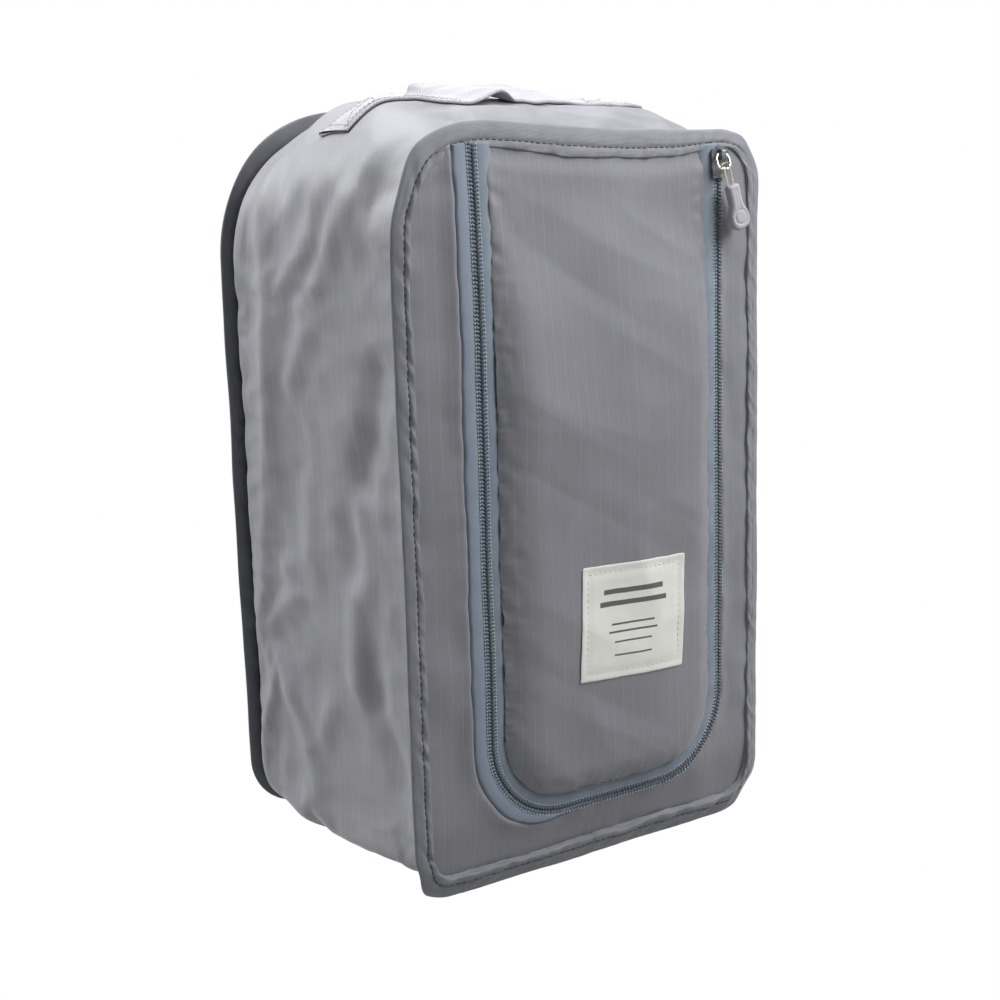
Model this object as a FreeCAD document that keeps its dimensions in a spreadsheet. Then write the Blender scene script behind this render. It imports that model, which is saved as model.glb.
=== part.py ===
import FreeCAD, Part
import Sketcher
import math
import os
import re

# Zipped shoe bag: two rounded panels joined by a deep gusset, both seams bound with folded tape,
# a wide front flap inside a U-shaped zip fastener, and a webbing handle across the top.
#
# X runs to the right seen from the front, Z up. "Front" numbers below are distances in front of
# the bag's own mid-plane, so a larger number is nearer to somebody who faces the flap.

doc = FreeCAD.newDocument("ShoeBag")
dims = doc.addObject("Spreadsheet::Sheet", "Dims")

sizes = [
    ("wide", 202, "outer width over the bound seams"),
    ("deep", 148, "outer depth over the bound seams"),
    ("tall", 330, "outer height over the bound seams"),
    ("cornerRound", 27, "outer corner radius of the bound seams"),
    ("frontShoulder", 45, "the same at the front seam's top left corner"),
    ("backShoulder", 62, "the same at the back seam's top left corner"),
    ("backRight", 45, "the same at the back seam's top right corner"),
    ("reach", 12, "how far a bound seam stands out from the gusset"),
    ("bindThick", 3.0, "thickness of the folded binding"),
    ("bindWall", 0.7, "one leaf of the binding tape"),
    ("bindEase", 0.5, "bevel of the binding's fold"),
    ("bindIn", 0.8, "gusset inside the binding's inner edge"),
    ("fabric", 0.8, "thickness of the coated cloth"),
    ("sideBulge", 5, "how far the gusset's sides swell"),
    ("crown", 6, "how far the gusset's top swells"),
    ("sag", 8, "how far the gusset's floor hangs"),
    ("shoulderRound", 30, "corner radius of the gusset where it is fullest"),
    ("zipLeft", -57, "centre line of the left zip leg"),
    ("zipRight", 71, "centre line of the right zip leg"),
    ("zipLow", 31, "height of the zip's bottom run"),
    ("zipRound", 38, "radius of the zip's two bends"),
    ("tapeShow", 8, "zip tape left bare on each side of the centre line"),
    ("tapeWide", 15, "zip tape's full reach from the centre line"),
    ("tapeEdge", 1.3, "woven edge of the tape from the centre line"),
    ("tapeThick", 0.6, "zip tape thickness"),
    ("coilGap", 0.2, "coil heads from the centre line"),
    ("coilWide", 2.9, "coil backs from the centre line"),
    ("coilThick", 2.2, "coil height above the tape"),
    ("coilEase", 0.7, "bevel of the coil's outer edges"),
    ("coilStop", 310.4, "top of the coil beside the parked slider"),
    ("seamTop", 316.6, "top end of the zip tapes, inside the bound seam"),
    ("tapeRound", 13.5, "corner radius of the tape's sewn-in ends"),
    ("foldLevel", 290, "height of the line that the flap folds along"),
    ("foldGap", 0.3, "half of the gap in the tapes and coils at the fold"),
    ("foldAxis", 75.2, "fold axis in front of the mid-plane"),
    ("flapSwell", 8.5, "how far the filled flap stands forward"),
    ("flapSlope", 16, "width of the slope at the flap's sides and foot"),
    ("flapRise", 40, "length of the slope below the fold"),
    ("flapRim", 1, "flat rim inside the flap's edge"),
    ("labelWide", 57, "label width"),
    ("labelTall", 52, "label height"),
    ("labelThick", 0.5, "label thickness"),
    ("labelX", 20, "label centre, sideways"),
    ("labelLevel", 114, "label centre height"),
    ("labelTilt", 3, "label's clockwise tilt in degrees"),
    ("webWide", 25, "webbing width"),
    ("webThick", 1.6, "webbing thickness"),
    ("webEnd", 78, "end of the webbing from the middle"),
    ("webDrop", 3.3, "how far the webbing's ends drop round the shoulders"),
    ("webTurn", 6.6, "where that drop starts, in from each end"),
    ("webSewn", 52, "inner end of the sewn stretch"),
    ("webRise", 42, "end of the free top stretch"),
    ("webBend", 6, "bend radius of the webbing"),
    ("webTop", 341, "height of the webbing's free stretch"),
    ("webGap", 0.2, "webbing above the gusset where it is sewn"),
    ("meshPlace", 22, "mesh divider behind the mid-plane"),
    ("meshTop", 230, "height of the divider's elastic edge"),
    ("meshGap", 0.4, "divider inside the gusset's wall"),
    ("elasticTall", 12, "elastic edge height"),
    ("elasticThick", 2.4, "elastic edge thickness"),
    ("sliderLevel", 314, "height of the ring's eye on the parked slider"),
    ("sliderAbove", 2.5, "slider above its eye"),
    ("sliderBelow", 10.5, "slider below its eye"),
    ("sliderShoulder", 5.0, "slider half width at the shoulder"),
    ("sliderTail", 3.9, "slider half width at the tail"),
    ("plateThick", 1.1, "slider plate thickness"),
    ("plateGap", 0.3, "clearance between the plates and the zip"),
    ("flangeThick", 0.6, "slider flange thickness"),
    ("flangeIn", 0.3, "flanges inside the plate's shoulders"),
    ("flangeGap", 0.4, "flanges above the tape"),
    ("postHalf", 0.9, "half width of the slider's wedge"),
    ("postTip", 3.1, "wedge's point below the eye"),
    ("crownHalf", 1.1, "half width of the slider's bridge"),
    ("crownLow", 2.7, "bridge below the eye"),
    ("crownHigh", 2.0, "bridge above the eye"),
    ("crownLeg", 0.9, "bridge leg thickness"),
    ("crownBar", 1.1, "bridge bar thickness"),
    ("eyeTall", 1.6, "clear height under the bridge"),
    ("ringWire", 1.1, "ring wire diameter"),
    ("ringHalf", 3.5, "ring half width on the wire's centre line"),
    ("ringDrop", 6.8, "ring height on the wire's centre line"),
    ("ringBend", 2.6, "ring corner radius on the centre line"),
    ("ringTilt", 20, "ring's forward lean in degrees"),
    ("linkWire", 0.9, "link wire diameter"),
    ("linkHalf", 1.55, "link half width on the centre line"),
    ("linkOut", 1.6, "link legs in front of the ring wire"),
    ("linkTop", 2.4, "link cross bar above the ring wire"),
    ("linkBack", 0.3, "link cross bar behind the ring wire"),
    ("linkSet", 6, "how deep the link is moulded into the pull"),
    ("linkBend", 0.72, "link's bend radius"),
    ("pullLean", 16, "pull's sideways lean in degrees"),
    ("pullTop", 7.3, "pull's top below the ring wire"),
    ("pullLong", 21, "pull length"),
    ("pullSet", 0.3, "pull's middle behind the link's legs"),
    ("pullNeck", 3.0, "half width of the pull's neck"),
    ("pullEnd", 5.0, "half width of the pull's round end"),
    ("pullSwell", 10.5, "where the pull starts to widen, above its end"),
    ("pullFull", 7.0, "where the pull is widest, above its end"),
    ("pullTip", 4.8, "corner radius of the pull's end"),
    ("pullThick", 5.0, "pull thickness"),
    ("pullEase", 0.8, "corner radius of the pull's top"),
]

for row, (alias, size, note) in enumerate(sizes, start=1):
    dims.set(f"A{row}", alias)
    dims.set(f"B{row}", str(size))
    dims.set(f"C{row}", note)
    dims.setAlias(f"B{row}", alias)
doc.recompute()
aliases = {alias for alias, size, note in sizes}


# ---- expressions in the sheet's own words ------------------------------------------------------

seam = "(deep / 2 - bindThick / 2)"
ringReach = f"({seam} + coilThick + plateGap + plateThick + eyeTall / 2)"
linkReach = f"({ringReach} + ringDrop * sin(ringTilt * 1 deg))"
linkLevel = "(sliderLevel - ringDrop * cos(ringTilt * 1 deg))"
pullFront = f"({linkReach} + linkOut - pullSet + pullThick / 2)"
forward = f"(({pullFront} - deep / 2) / 2)"
innerWide = "(wide / 2 - reach)"

# Corner radii of the two seams: bottom left, bottom right, top right, top left.
frontCorners = ("cornerRound", "cornerRound", "cornerRound", "frontShoulder")
backCorners = ("cornerRound", "cornerRound", "backRight", "backShoulder")

# Share of the gusset's swelling at places from its front seam (1) to its back seam (-1).
gussetSwell = [(1, 0), (0.5, 0.75), (0, 1), (-0.5, 1), (-0.88, 0.45), (-1, 0)]
cornerFlats = 6


def onSheet(text):
    """The same expression with every alias looked up on the sheet."""
    return re.sub(r"[A-Za-z]\w*", lambda word: f"Dims.{word[0]}" if word[0] in aliases else word[0], text)


def measure(text):
    """What an expression comes to now."""
    found = dims.evalExpression(onSheet(text).replace("Dims.", ""))
    return float(getattr(found, "Value", found))


# ---- bodies and sketches -----------------------------------------------------------------------

def newBody(label, x="0", front="0", level="0", axis=None, turn="0"):
    """A body whose own origin lies at x, front and level."""
    body = doc.addObject("PartDesign::Body", label)
    if axis:
        body.Placement = FreeCAD.Placement(FreeCAD.Vector(), FreeCAD.Rotation(axis, 10))
        body.setExpression("Placement.Rotation.Angle", onSheet(f"({turn}) * 1 deg"))
    body.setExpression("Placement.Base.x", onSheet(f"({x}) * 1 mm"))
    body.setExpression("Placement.Base.y", onSheet(f"({forward} - ({front})) * 1 mm"))
    body.setExpression("Placement.Base.z", onSheet(f"({level}) * 1 mm"))
    return body


def sketchOn(body, plane, away="0"):
    """A sketch on one of the body's planes, moved out along the plane's normal."""
    sketch = body.newObject("Sketcher::SketchObject", "Sketch")
    origin = [part for part in body.Origin.OriginFeatures if part.Role == plane][0]
    sketch.AttachmentSupport = (origin, "")
    sketch.MapMode = "FlatFace"
    sketch.setExpression("AttachmentOffset.Base.z", onSheet(f"({away}) * 1 mm"))
    return sketch


def pin(sketch, kind, geometry, axis, text):
    """One coordinate of a point, bound to the sheet."""
    if text == "0":
        sketch.addConstraint(Sketcher.Constraint("PointOnObject", geometry, 1, axis))
        return
    number = sketch.addConstraint(Sketcher.Constraint(kind, -1, 1, geometry, 1, measure(text)))
    sketch.setExpression(f"Constraints[{number}]", onSheet(text))


def cornerArc(here, before, after, radius):
    """Arc that rounds the corner between two unit directions, and where it starts on the way in."""
    half = before.getAngle(after) / 2
    middle = here + (before + after).normalize() * (radius / math.sin(half))
    ends = [here + side * (radius / math.tan(half)) for side in (before, after)]
    leftTurn = before.cross(after).z < 0
    first, last = ends if leftTurn else ends[::-1]
    angles = [math.atan2(end.y - middle.y, end.x - middle.x) for end in (first, last)]
    circle = Part.Circle(middle, FreeCAD.Vector(0, 0, 1), radius)
    return Part.ArcOfCircle(circle, *angles), ends, leftTurn


def draw(sketch, corners, closed=True):
    """Straight runs between corners (x, y, radius), each number an expression on the sheet."""
    spots = [FreeCAD.Vector(measure(x), measure(y), 0) for x, y, radius in corners]
    count = len(spots)
    marks, arcs, ends = [], [], []
    for number, (x, y, radius) in enumerate(corners):
        mark = sketch.addGeometry(Part.Point(spots[number]), True)
        pin(sketch, "DistanceX", mark, -2, x)
        pin(sketch, "DistanceY", mark, -1, y)
        marks.append(mark)
        if radius == "0":
            arcs.append(None)
            ends.append([spots[number]] * 2)
            continue
        before = (spots[number - 1] - spots[number]).normalize()
        after = (spots[(number + 1) % count] - spots[number]).normalize()
        arc, meets, leftTurn = cornerArc(spots[number], before, after, measure(radius))
        geometry = sketch.addGeometry(arc)
        bend = sketch.addConstraint(Sketcher.Constraint("Radius", geometry, measure(radius)))
        sketch.setExpression(f"Constraints[{bend}]", onSheet(radius))
        arcs.append((geometry, (1, 2) if leftTurn else (2, 1)))
        ends.append(meets)
    for number in range(count if closed else count - 1):
        following = (number + 1) % count
        line = sketch.addGeometry(Part.LineSegment(ends[number][1], ends[following][0]))
        for corner, tip, side in ((number, 1, 1), (following, 2, 0)):
            if arcs[corner] is None:
                sketch.addConstraint(Sketcher.Constraint("Coincident", line, tip, marks[corner], 1))
            else:
                geometry, arcTips = arcs[corner]
                sketch.addConstraint(Sketcher.Constraint("PointOnObject", marks[corner], 1, line))
                sketch.addConstraint(Sketcher.Constraint("Tangent", line, tip, geometry, arcTips[side]))


def pad(body, sketch, length, middle=False):
    """Solid that grows from the sketch along its normal, or both ways from it."""
    feature = body.newObject("PartDesign::Pad", "Pad")
    feature.Profile = sketch
    feature.setExpression("Length", onSheet(f"({length}) * 1 mm"))
    feature.Midplane = middle
    return feature


def pocket(body, sketch, length, middle=False):
    """Cut that sinks from the sketch against its normal, checked to take something away."""
    doc.recompute()
    before = body.Tip.Shape.Volume
    feature = body.newObject("PartDesign::Pocket", "Pocket")
    feature.Profile = sketch
    feature.setExpression("Length", onSheet(f"({length}) * 1 mm"))
    feature.Midplane = middle
    doc.recompute()
    if feature.Shape.Volume >= before - 0.01:
        raise RuntimeError(f"{body.Label}: a pocket cuts nothing")
    return feature


def loft(body, kind, sections):
    """Straight-lined skin through a row of sketches."""
    feature = body.newObject(kind, "Loft")
    feature.Profile = sections[0]
    feature.Sections = sections[1:]
    feature.Ruled = True
    return feature


def pipe(body, section, spine):
    """A section drawn along a path."""
    feature = body.newObject("PartDesign::AdditivePipe", "Pipe")
    feature.Profile = section
    feature.Spine = spine
    feature.Transition = "Round corner"
    return feature


def ease(body, size, wanted):
    """Take off the edges of the body's tip that the test picks."""
    doc.recompute()
    base = body.Tip
    names = [f"Edge{n}" for n, edge in enumerate(base.Shape.Edges, start=1) if wanted(edge)]
    feature = body.newObject("PartDesign::Chamfer", "Ease")
    feature.Base = (base, names)
    feature.setExpression("Size", onSheet(f"({size}) * 1 mm"))
    return feature


def onPlane(edge, front):
    """Whether an edge lies in a plane across the body, at its own distance to the front."""
    box = edge.BoundBox
    return abs(box.YMin + front) < 0.01 and abs(box.YMax + front) < 0.01


# ---- outlines that several pieces share ----------------------------------------------------------

def roundedOutline(inset, corners):
    """A seam's outline, drawn in by an amount."""
    side, low, high = f"wide / 2 - ({inset})", f"{inset}", f"tall - ({inset})"
    spots = ((f"-({side})", low), (side, low), (side, high), (f"-({side})", high))
    return [(x, level, f"{corner} - ({inset})") for (x, level), corner in zip(spots, corners)]


def swollenOutline(inset, share, corners):
    """The gusset's outline where it has taken up a share of its swelling, in flats round its corners."""
    side = f"{innerWide} + sideBulge * {share} - ({inset})"
    low = f"reach - sag * {share} + ({inset})"
    high = f"tall - reach + crown * {share} - ({inset})"
    spots = []
    for corner, across, level, up, turn in ((corners[0], "-", low, "+", 180), (corners[1], "", low, "+", 270),
                                            (corners[2], "", high, "-", 0), (corners[3], "-", high, "-", 90)):
        radius = f"(({corner} - reach) * {1 - share} + shoulderRound * {share} - ({inset}))"
        for flat in range(cornerFlats + 1):
            angle = f"{turn + 90 * flat / cornerFlats} * 1 deg"
            spots.append((f"{across}({side} - {radius}) + {radius} * cos({angle})",
                          f"{level} {up} {radius} + {radius} * sin({angle})", "0"))
    return spots


def zipOutline(out, top):
    """The zip's U, moved out from its centre line, with straight tops."""
    left, right, low = f"zipLeft - ({out})", f"zipRight + ({out})", f"zipLow - ({out})"
    bend = f"zipRound + ({out})"
    return [(left, top, "0"), (left, low, bend), (right, low, bend), (right, top, "0")]


def zipBand(inner, outer, leftTop, rightTop, ends="0"):
    """A band along the zip's U between two distances from its centre line."""
    outside = zipOutline(outer, leftTop)
    inside = zipOutline(inner, leftTop)
    outside[0] = (outside[0][0], leftTop, ends)
    outside[3] = (outside[3][0], rightTop, ends)
    inside[3] = (inside[3][0], rightTop, "0")
    return outside + inside[::-1]


def wireOutline(radius):
    """Eight-sided section of a bent wire."""
    turns = [22.5 + 45 * number for number in range(8)]
    return [(f"{radius} * cos({turn} * 1 deg)", f"{radius} * sin({turn} * 1 deg)", "0") for turn in turns]


def rectangle(x0, y0, x1, y1, radius="0"):
    """Four corners with one radius."""
    return [(x0, y0, radius), (x1, y0, radius), (x1, y1, radius), (x0, y1, radius)]


# ---- the sewn shell --------------------------------------------------------------------------------

def makeBackPanel():
    body = newBody("back_panel")
    sketch = sketchOn(body, "XZ_Plane", f"-{seam} - fabric")
    draw(sketch, roundedOutline("bindWall", backCorners))
    pad(body, sketch, "fabric")


def makeGusset():
    """One deep band between the two seam lines, fullest from mid depth to the back."""
    body = newBody("gusset")
    end = f"({seam} - fabric)"
    for kind, skin in (("PartDesign::AdditiveLoft", "0"), ("PartDesign::SubtractiveLoft", "fabric")):
        sections = []
        for place, share in gussetSwell:
            sketch = sketchOn(body, "XZ_Plane", f"{place} * {end}")
            draw(sketch, swollenOutline(skin, share, frontCorners if place > 0 else backCorners))
            sections.append(sketch)
        loft(body, kind, sections)


def makeHem(label, front, corners):
    """The gusset's edge turned outwards between a panel and its binding."""
    body = newBody(label)
    sketch = sketchOn(body, "XZ_Plane", front)
    draw(sketch, roundedOutline("bindWall", corners))
    draw(sketch, roundedOutline("reach + fabric", corners))
    pad(body, sketch, "fabric")


def makeFrontSurround():
    """The front panel outside the zip: two legs and a sill."""
    body = newBody("front_surround")
    sketch = sketchOn(body, "XZ_Plane", seam)
    draw(sketch, roundedOutline("bindWall", frontCorners))
    pad(body, sketch, "fabric")
    doorway = sketchOn(body, "XZ_Plane", f"{seam} + fabric")
    draw(doorway, zipOutline("tapeShow", "tall + reach"))
    pocket(body, doorway, "fabric")


def makeFlapHead():
    """The strip of the flap's cloth above the line that it folds along."""
    body = newBody("flap_head")
    sketch = sketchOn(body, "XZ_Plane", seam)
    draw(sketch, rectangle("zipLeft + tapeShow", "foldLevel", "zipRight - tapeShow", "tall - bindWall"))
    pad(body, sketch, "fabric")


def makeBinding(label, middle, corners):
    """Tape folded over a seam's raw edges, open towards the bag's inside."""
    body = newBody(label)
    ring = sketchOn(body, "XZ_Plane", f"{middle} - bindThick / 2")
    draw(ring, roundedOutline("0", corners))
    draw(ring, roundedOutline("reach - bindIn", corners))
    pad(body, ring, "bindThick")
    slot = sketchOn(body, "XZ_Plane", f"{middle} + fabric")
    draw(slot, roundedOutline("bindWall", corners))
    draw(slot, roundedOutline("reach + bindWall", corners))
    pocket(body, slot, "2 * fabric")
    faces = [measure(f"{middle} - bindThick / 2"), measure(f"{middle} + bindThick / 2")]
    half, high = measure("wide / 2"), measure("tall")

    def onFold(edge):
        """Along the outside, on either face of the folded tape."""
        box = edge.BoundBox
        outside = max(abs(box.XMin), abs(box.XMax)) > half - 0.01 or box.ZMin < 0.01 or box.ZMax > high - 0.01
        return outside and any(onPlane(edge, face) for face in faces)

    ease(body, "bindEase", onFold)


# ---- the zip fastener's tapes and coils ------------------------------------------------------------

def makeTape(label, inner, outer, leftTop, rightTop, ends="0"):
    body = newBody(label)
    sketch = sketchOn(body, "XZ_Plane", f"{seam} - tapeThick")
    draw(sketch, zipBand(inner, outer, leftTop, rightTop, ends))
    pad(body, sketch, "tapeThick")


def makeCoil(label, inner, outer, leftTop, rightTop):
    body = newBody(label)
    sketch = sketchOn(body, "XZ_Plane", seam)
    draw(sketch, zipBand(inner, outer, leftTop, rightTop))
    pad(body, sketch, "coilThick")
    crest = measure(f"{seam} + coilThick")
    ease(body, "coilEase", lambda edge: onPlane(edge, crest) and edge.Length > 2 * measure("coilWide"))


def makeHeadEnds(label, away, thick, inner, outer, leftTop, rightTop):
    """The flap side's tape or coil above the fold, one length on each leg."""
    body = newBody(label)
    low = "foldLevel + foldGap"
    sketch = sketchOn(body, "XZ_Plane", away)
    draw(sketch, rectangle(f"zipLeft + {inner}", low, f"zipLeft + {outer}", leftTop))
    pad(body, sketch, thick)
    other = sketchOn(body, "XZ_Plane", away)
    draw(other, rectangle(f"zipRight - {outer}", low, f"zipRight - {inner}", rightTop))
    pad(body, other, thick)


def makeZip():
    fold = "foldLevel - foldGap"
    makeTape("zip_tape_surround", "tapeEdge", "tapeWide", "seamTop", "seamTop", "tapeRound")
    makeTape("zip_tape_flap", "-tapeWide", "-tapeEdge", fold, fold)
    makeHeadEnds("zip_tape_head_ends", f"{seam} - tapeThick", "tapeThick", "tapeEdge", "tapeWide",
                 "seamTop", "seamTop")
    makeCoil("zip_coil_surround", "coilGap", "coilWide", "seamTop", "coilStop")
    makeCoil("zip_coil_flap", "-coilWide", "-coilGap", fold, fold)
    makeHeadEnds("zip_coil_head_ends", seam, "coilThick", "coilGap", "coilWide", "seamTop", "coilStop")


# ---- the flap ----------------------------------------------------------------------------------------

def makeFlapPanel():
    """Cloth that stands forward over its filling, flat again at the fold."""
    body = newBody("flap_panel")
    sketch = sketchOn(body, "XZ_Plane", seam)
    draw(sketch, zipOutline("-tapeShow", "foldLevel"))
    pad(body, sketch, "fabric")
    for kind, rim, skin in (("PartDesign::AdditiveLoft", "0", "fabric"),
                            ("PartDesign::SubtractiveLoft", "flapRim", "0")):
        foot = sketchOn(body, "XZ_Plane", f"{seam} + {skin}")
        draw(foot, zipOutline(f"-tapeShow - {rim}", f"foldLevel - {rim}"))
        crest = sketchOn(body, "XZ_Plane", f"{seam} + flapSwell + {skin}")
        draw(crest, zipOutline("-tapeShow - flapSlope", "foldLevel - flapRise"))
        loft(body, kind, [foot, crest])


def makeLabel():
    body = newBody("label", "labelX", f"{seam} + fabric + flapSwell", "labelLevel",
                   FreeCAD.Vector(0, 1, 0), "labelTilt")
    sketch = sketchOn(body, "XZ_Plane")
    draw(sketch, rectangle("-labelWide / 2", "-labelTall / 2", "labelWide / 2", "labelTall / 2"))
    pad(body, sketch, "labelThick")


# ---- handle and inside ---------------------------------------------------------------------------------

def makeHandle():
    """Webbing sewn down at both shoulders, with a free stretch to get a hand under."""
    body = newBody("handle_strap")
    sewn = "tall - reach + crown + webThick / 2 + webGap"
    shoulder = f"{sewn} - webDrop"
    way = [("webEnd", shoulder, "0"), ("webEnd - webTurn", sewn, "shoulderRound - 2"),
           ("webSewn", sewn, "webBend"), ("webRise", "webTop", "webBend")]
    way = [(f"-({x})", level, radius) for x, level, radius in way] + way[::-1]
    spine = sketchOn(body, "XZ_Plane")
    draw(spine, way, closed=False)
    section = sketchOn(body, "YZ_Plane", "-webEnd")
    draw(section, rectangle("-webWide / 2", f"{shoulder} - webThick / 2", "webWide / 2",
                            f"{shoulder} + webThick / 2"))
    pipe(body, section, spine)


def makeDivider():
    """A mesh pocket across the inside, with an elastic edge folded over its top."""
    side = f"{innerWide} + sideBulge - fabric - meshGap"
    low, bend = "reach - sag + fabric + meshGap", "shoulderRound - fabric - meshGap"
    mesh = newBody("divider_mesh")
    sketch = sketchOn(mesh, "XZ_Plane", "-meshPlace - fabric / 2")
    draw(sketch, [(f"-({side})", low, bend), (side, low, bend),
                  (side, "meshTop", "0"), (f"-({side})", "meshTop", "0")])
    pad(mesh, sketch, "fabric")
    edge = newBody("divider_elastic", "0", "-meshPlace", "meshTop")
    profile = sketchOn(edge, "YZ_Plane")
    top, low = "(elasticThick - fabric) / 2", "elasticTall - (elasticThick - fabric) / 2"
    draw(profile, [("-elasticThick / 2", f"-({low})", "0"), ("-fabric / 2", f"-({low})", "0"),
                   ("-fabric / 2", "0", "0"), ("fabric / 2", "0", "0"), ("fabric / 2", f"-({low})", "0"),
                   ("elasticThick / 2", f"-({low})", "0"), ("elasticThick / 2", top, "0"),
                   ("-elasticThick / 2", top, "0")])
    pad(edge, profile, f"2 * ({side})", middle=True)


# ---- slider and pull -------------------------------------------------------------------------------------

def makeSlider():
    """Two plates joined by a wedge, the front one with flanges that keep the coils together."""
    body = newBody("slider_body", "zipRight", seam, "sliderLevel")
    back, front = "-(tapeThick + plateGap)", "coilThick + plateGap"
    plan = [("-sliderTail", "-sliderBelow", "plateThick"), ("sliderTail", "-sliderBelow", "plateThick"),
            ("sliderShoulder", "sliderAbove", "2 * plateThick"),
            ("-sliderShoulder", "sliderAbove", "2 * plateThick")]
    for away in (f"{back} - plateThick", front):
        sketch = sketchOn(body, "XZ_Plane", away)
        draw(sketch, plan)
        pad(body, sketch, "plateThick")
    wedge = sketchOn(body, "XZ_Plane", back)
    draw(wedge, [("0", "-postTip", "0"), ("postHalf", "-postHalf", "0"),
                 ("postHalf", "sliderAbove - plateThick", "0"), ("-postHalf", "sliderAbove - plateThick", "0"),
                 ("-postHalf", "-postHalf", "0")])
    pad(body, wedge, f"{front} - ({back})")
    for sign in ("", "-"):
        flange = sketchOn(body, "XZ_Plane", "flangeGap")
        tail, shoulder = "sliderTail", "sliderShoulder - flangeIn"
        draw(flange, [(f"{sign}({tail})", "plateThick - sliderBelow", "0"),
                      (f"{sign}({shoulder})", "sliderAbove - 2 * plateThick", "0"),
                      (f"{sign}({shoulder} - flangeThick)", "sliderAbove - 2 * plateThick", "0"),
                      (f"{sign}({tail} - flangeThick)", "plateThick - sliderBelow", "0")])
        pad(body, flange, f"{front} - flangeGap")


def makeBridge():
    """The arch over the slider's front plate that the ring hangs from."""
    body = newBody("slider_bridge", "zipRight", f"{seam} + coilThick + plateGap + plateThick", "sliderLevel")
    sketch = sketchOn(body, "YZ_Plane")
    outer = "-(eyeTall + crownBar)"
    draw(sketch, [("0", "-crownLow", "0"), (outer, "-crownLow", "crownBar"), (outer, "crownHigh", "crownBar"),
                  ("0", "crownHigh", "0"), ("0", "crownHigh - crownLeg", "0"),
                  ("-eyeTall", "crownHigh - crownLeg", "crownBar / 4"),
                  ("-eyeTall", "crownLeg - crownLow", "crownBar / 4"), ("0", "crownLeg - crownLow", "0")])
    pad(body, sketch, "2 * crownHalf", middle=True)


def makeRing():
    """Wire ring through the bridge, hanging a little forward."""
    body = newBody("pull_ring", "zipRight", ringReach, "sliderLevel", FreeCAD.Vector(1, 0, 0), "-ringTilt")
    spine = sketchOn(body, "XZ_Plane")
    draw(spine, rectangle("-ringHalf", "-ringDrop", "ringHalf", "0", "ringBend"))
    section = sketchOn(body, "YZ_Plane")
    draw(section, wireOutline("ringWire / 2"))
    pipe(body, section, spine)


def pullBody(label):
    """A body hung from the ring's lower wire, leaning to the right."""
    return newBody(label, "zipRight", linkReach, linkLevel, FreeCAD.Vector(0, 1, 0), "-pullLean")


def makeLink():
    """Wire clip: two legs down into the pull, and a cross bar bent back over the ring."""
    half, legs, back = measure("linkHalf"), -measure("linkOut"), measure("linkBack")
    foot, bend, top = -measure("pullTop + linkSet"), measure("linkWire"), measure("linkTop")
    side = [(half, legs, foot), (half, legs, bend), (half, back, top)]
    spots = [FreeCAD.Vector(x, y, z) for x, y, z in side]
    spots += [FreeCAD.Vector(-x, y, z) for x, y, z in side[::-1]]
    link = doc.addObject("Part::Feature", "pull_link")
    link.Shape = bentWire(spots, measure("linkBend"), measure("linkWire") / 2)
    place = FreeCAD.Vector(*(measure(text) for text in ("zipRight", f"{forward} - {linkReach}", linkLevel)))
    link.Placement = FreeCAD.Placement(place, FreeCAD.Rotation(FreeCAD.Vector(0, 1, 0), -measure("pullLean")))


def bentWire(spots, bend, radius):
    """Eight-sided wire along straight runs joined by tangent arcs, starting straight up."""
    edges = []
    start = spots[0]
    for here, following in zip(spots[1:-1], spots[2:]):
        before, after = (start - here).normalize(), (following - here).normalize()
        half = before.getAngle(after) / 2
        back = bend / math.tan(half)
        entry, leave = here + before * back, here + after * back
        middle = here + (before + after).normalize() * (bend / math.sin(half) - bend)
        edges += [Part.LineSegment(start, entry).toShape(), Part.Arc(entry, middle, leave).toShape()]
        start = leave
    edges.append(Part.LineSegment(start, spots[-1]).toShape())
    around = [math.radians(22.5 + 45 * number) for number in range(9)]
    rim = [spots[0] + FreeCAD.Vector(math.cos(turn), math.sin(turn), 0) * radius for turn in around]
    return Part.Wire(edges).makePipeShell([Part.makePolygon(rim)], True, True, 1)


def makePull():
    """Moulded rubber pull, straight in the neck and round at the end."""
    body = pullBody("pull_tab")
    end = "-(pullTop + pullLong)"
    sketch = sketchOn(body, "XZ_Plane", "linkOut - pullSet - pullThick / 2")
    right = [("pullNeck", "-pullTop", "pullEase"), ("pullNeck", f"{end} + pullSwell", "pullEnd"),
             ("pullEnd", f"{end} + pullFull", "pullNeck"), ("pullEnd", end, "pullTip")]
    left = [(f"-{x}", level, radius) for x, level, radius in right[::-1]]
    draw(sketch, right + left)
    pad(body, sketch, "pullThick")
    for sign in ("", "-"):
        socket = sketchOn(body, "XY_Plane", "-pullTop")
        hole = socket.addGeometry(Part.Circle(FreeCAD.Vector(measure(f"{sign}linkHalf"), -measure("linkOut"), 0),
                                              FreeCAD.Vector(0, 0, 1), measure("linkWire / 2")))
        pinCentre(socket, hole, f"{sign}linkHalf", "-linkOut", "linkWire / 2")
        pocket(body, socket, "linkSet")


def pinCentre(sketch, circle, x, y, radius):
    """A circle's centre and radius, bound to the sheet."""
    for kind, text in (("DistanceX", x), ("DistanceY", y)):
        number = sketch.addConstraint(Sketcher.Constraint(kind, -1, 1, circle, 3, measure(text)))
        sketch.setExpression(f"Constraints[{number}]", onSheet(text))
    number = sketch.addConstraint(Sketcher.Constraint("Radius", circle, measure(radius)))
    sketch.setExpression(f"Constraints[{number}]", onSheet(radius))


# ---- the whole bag -----------------------------------------------------------------------------------------

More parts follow.
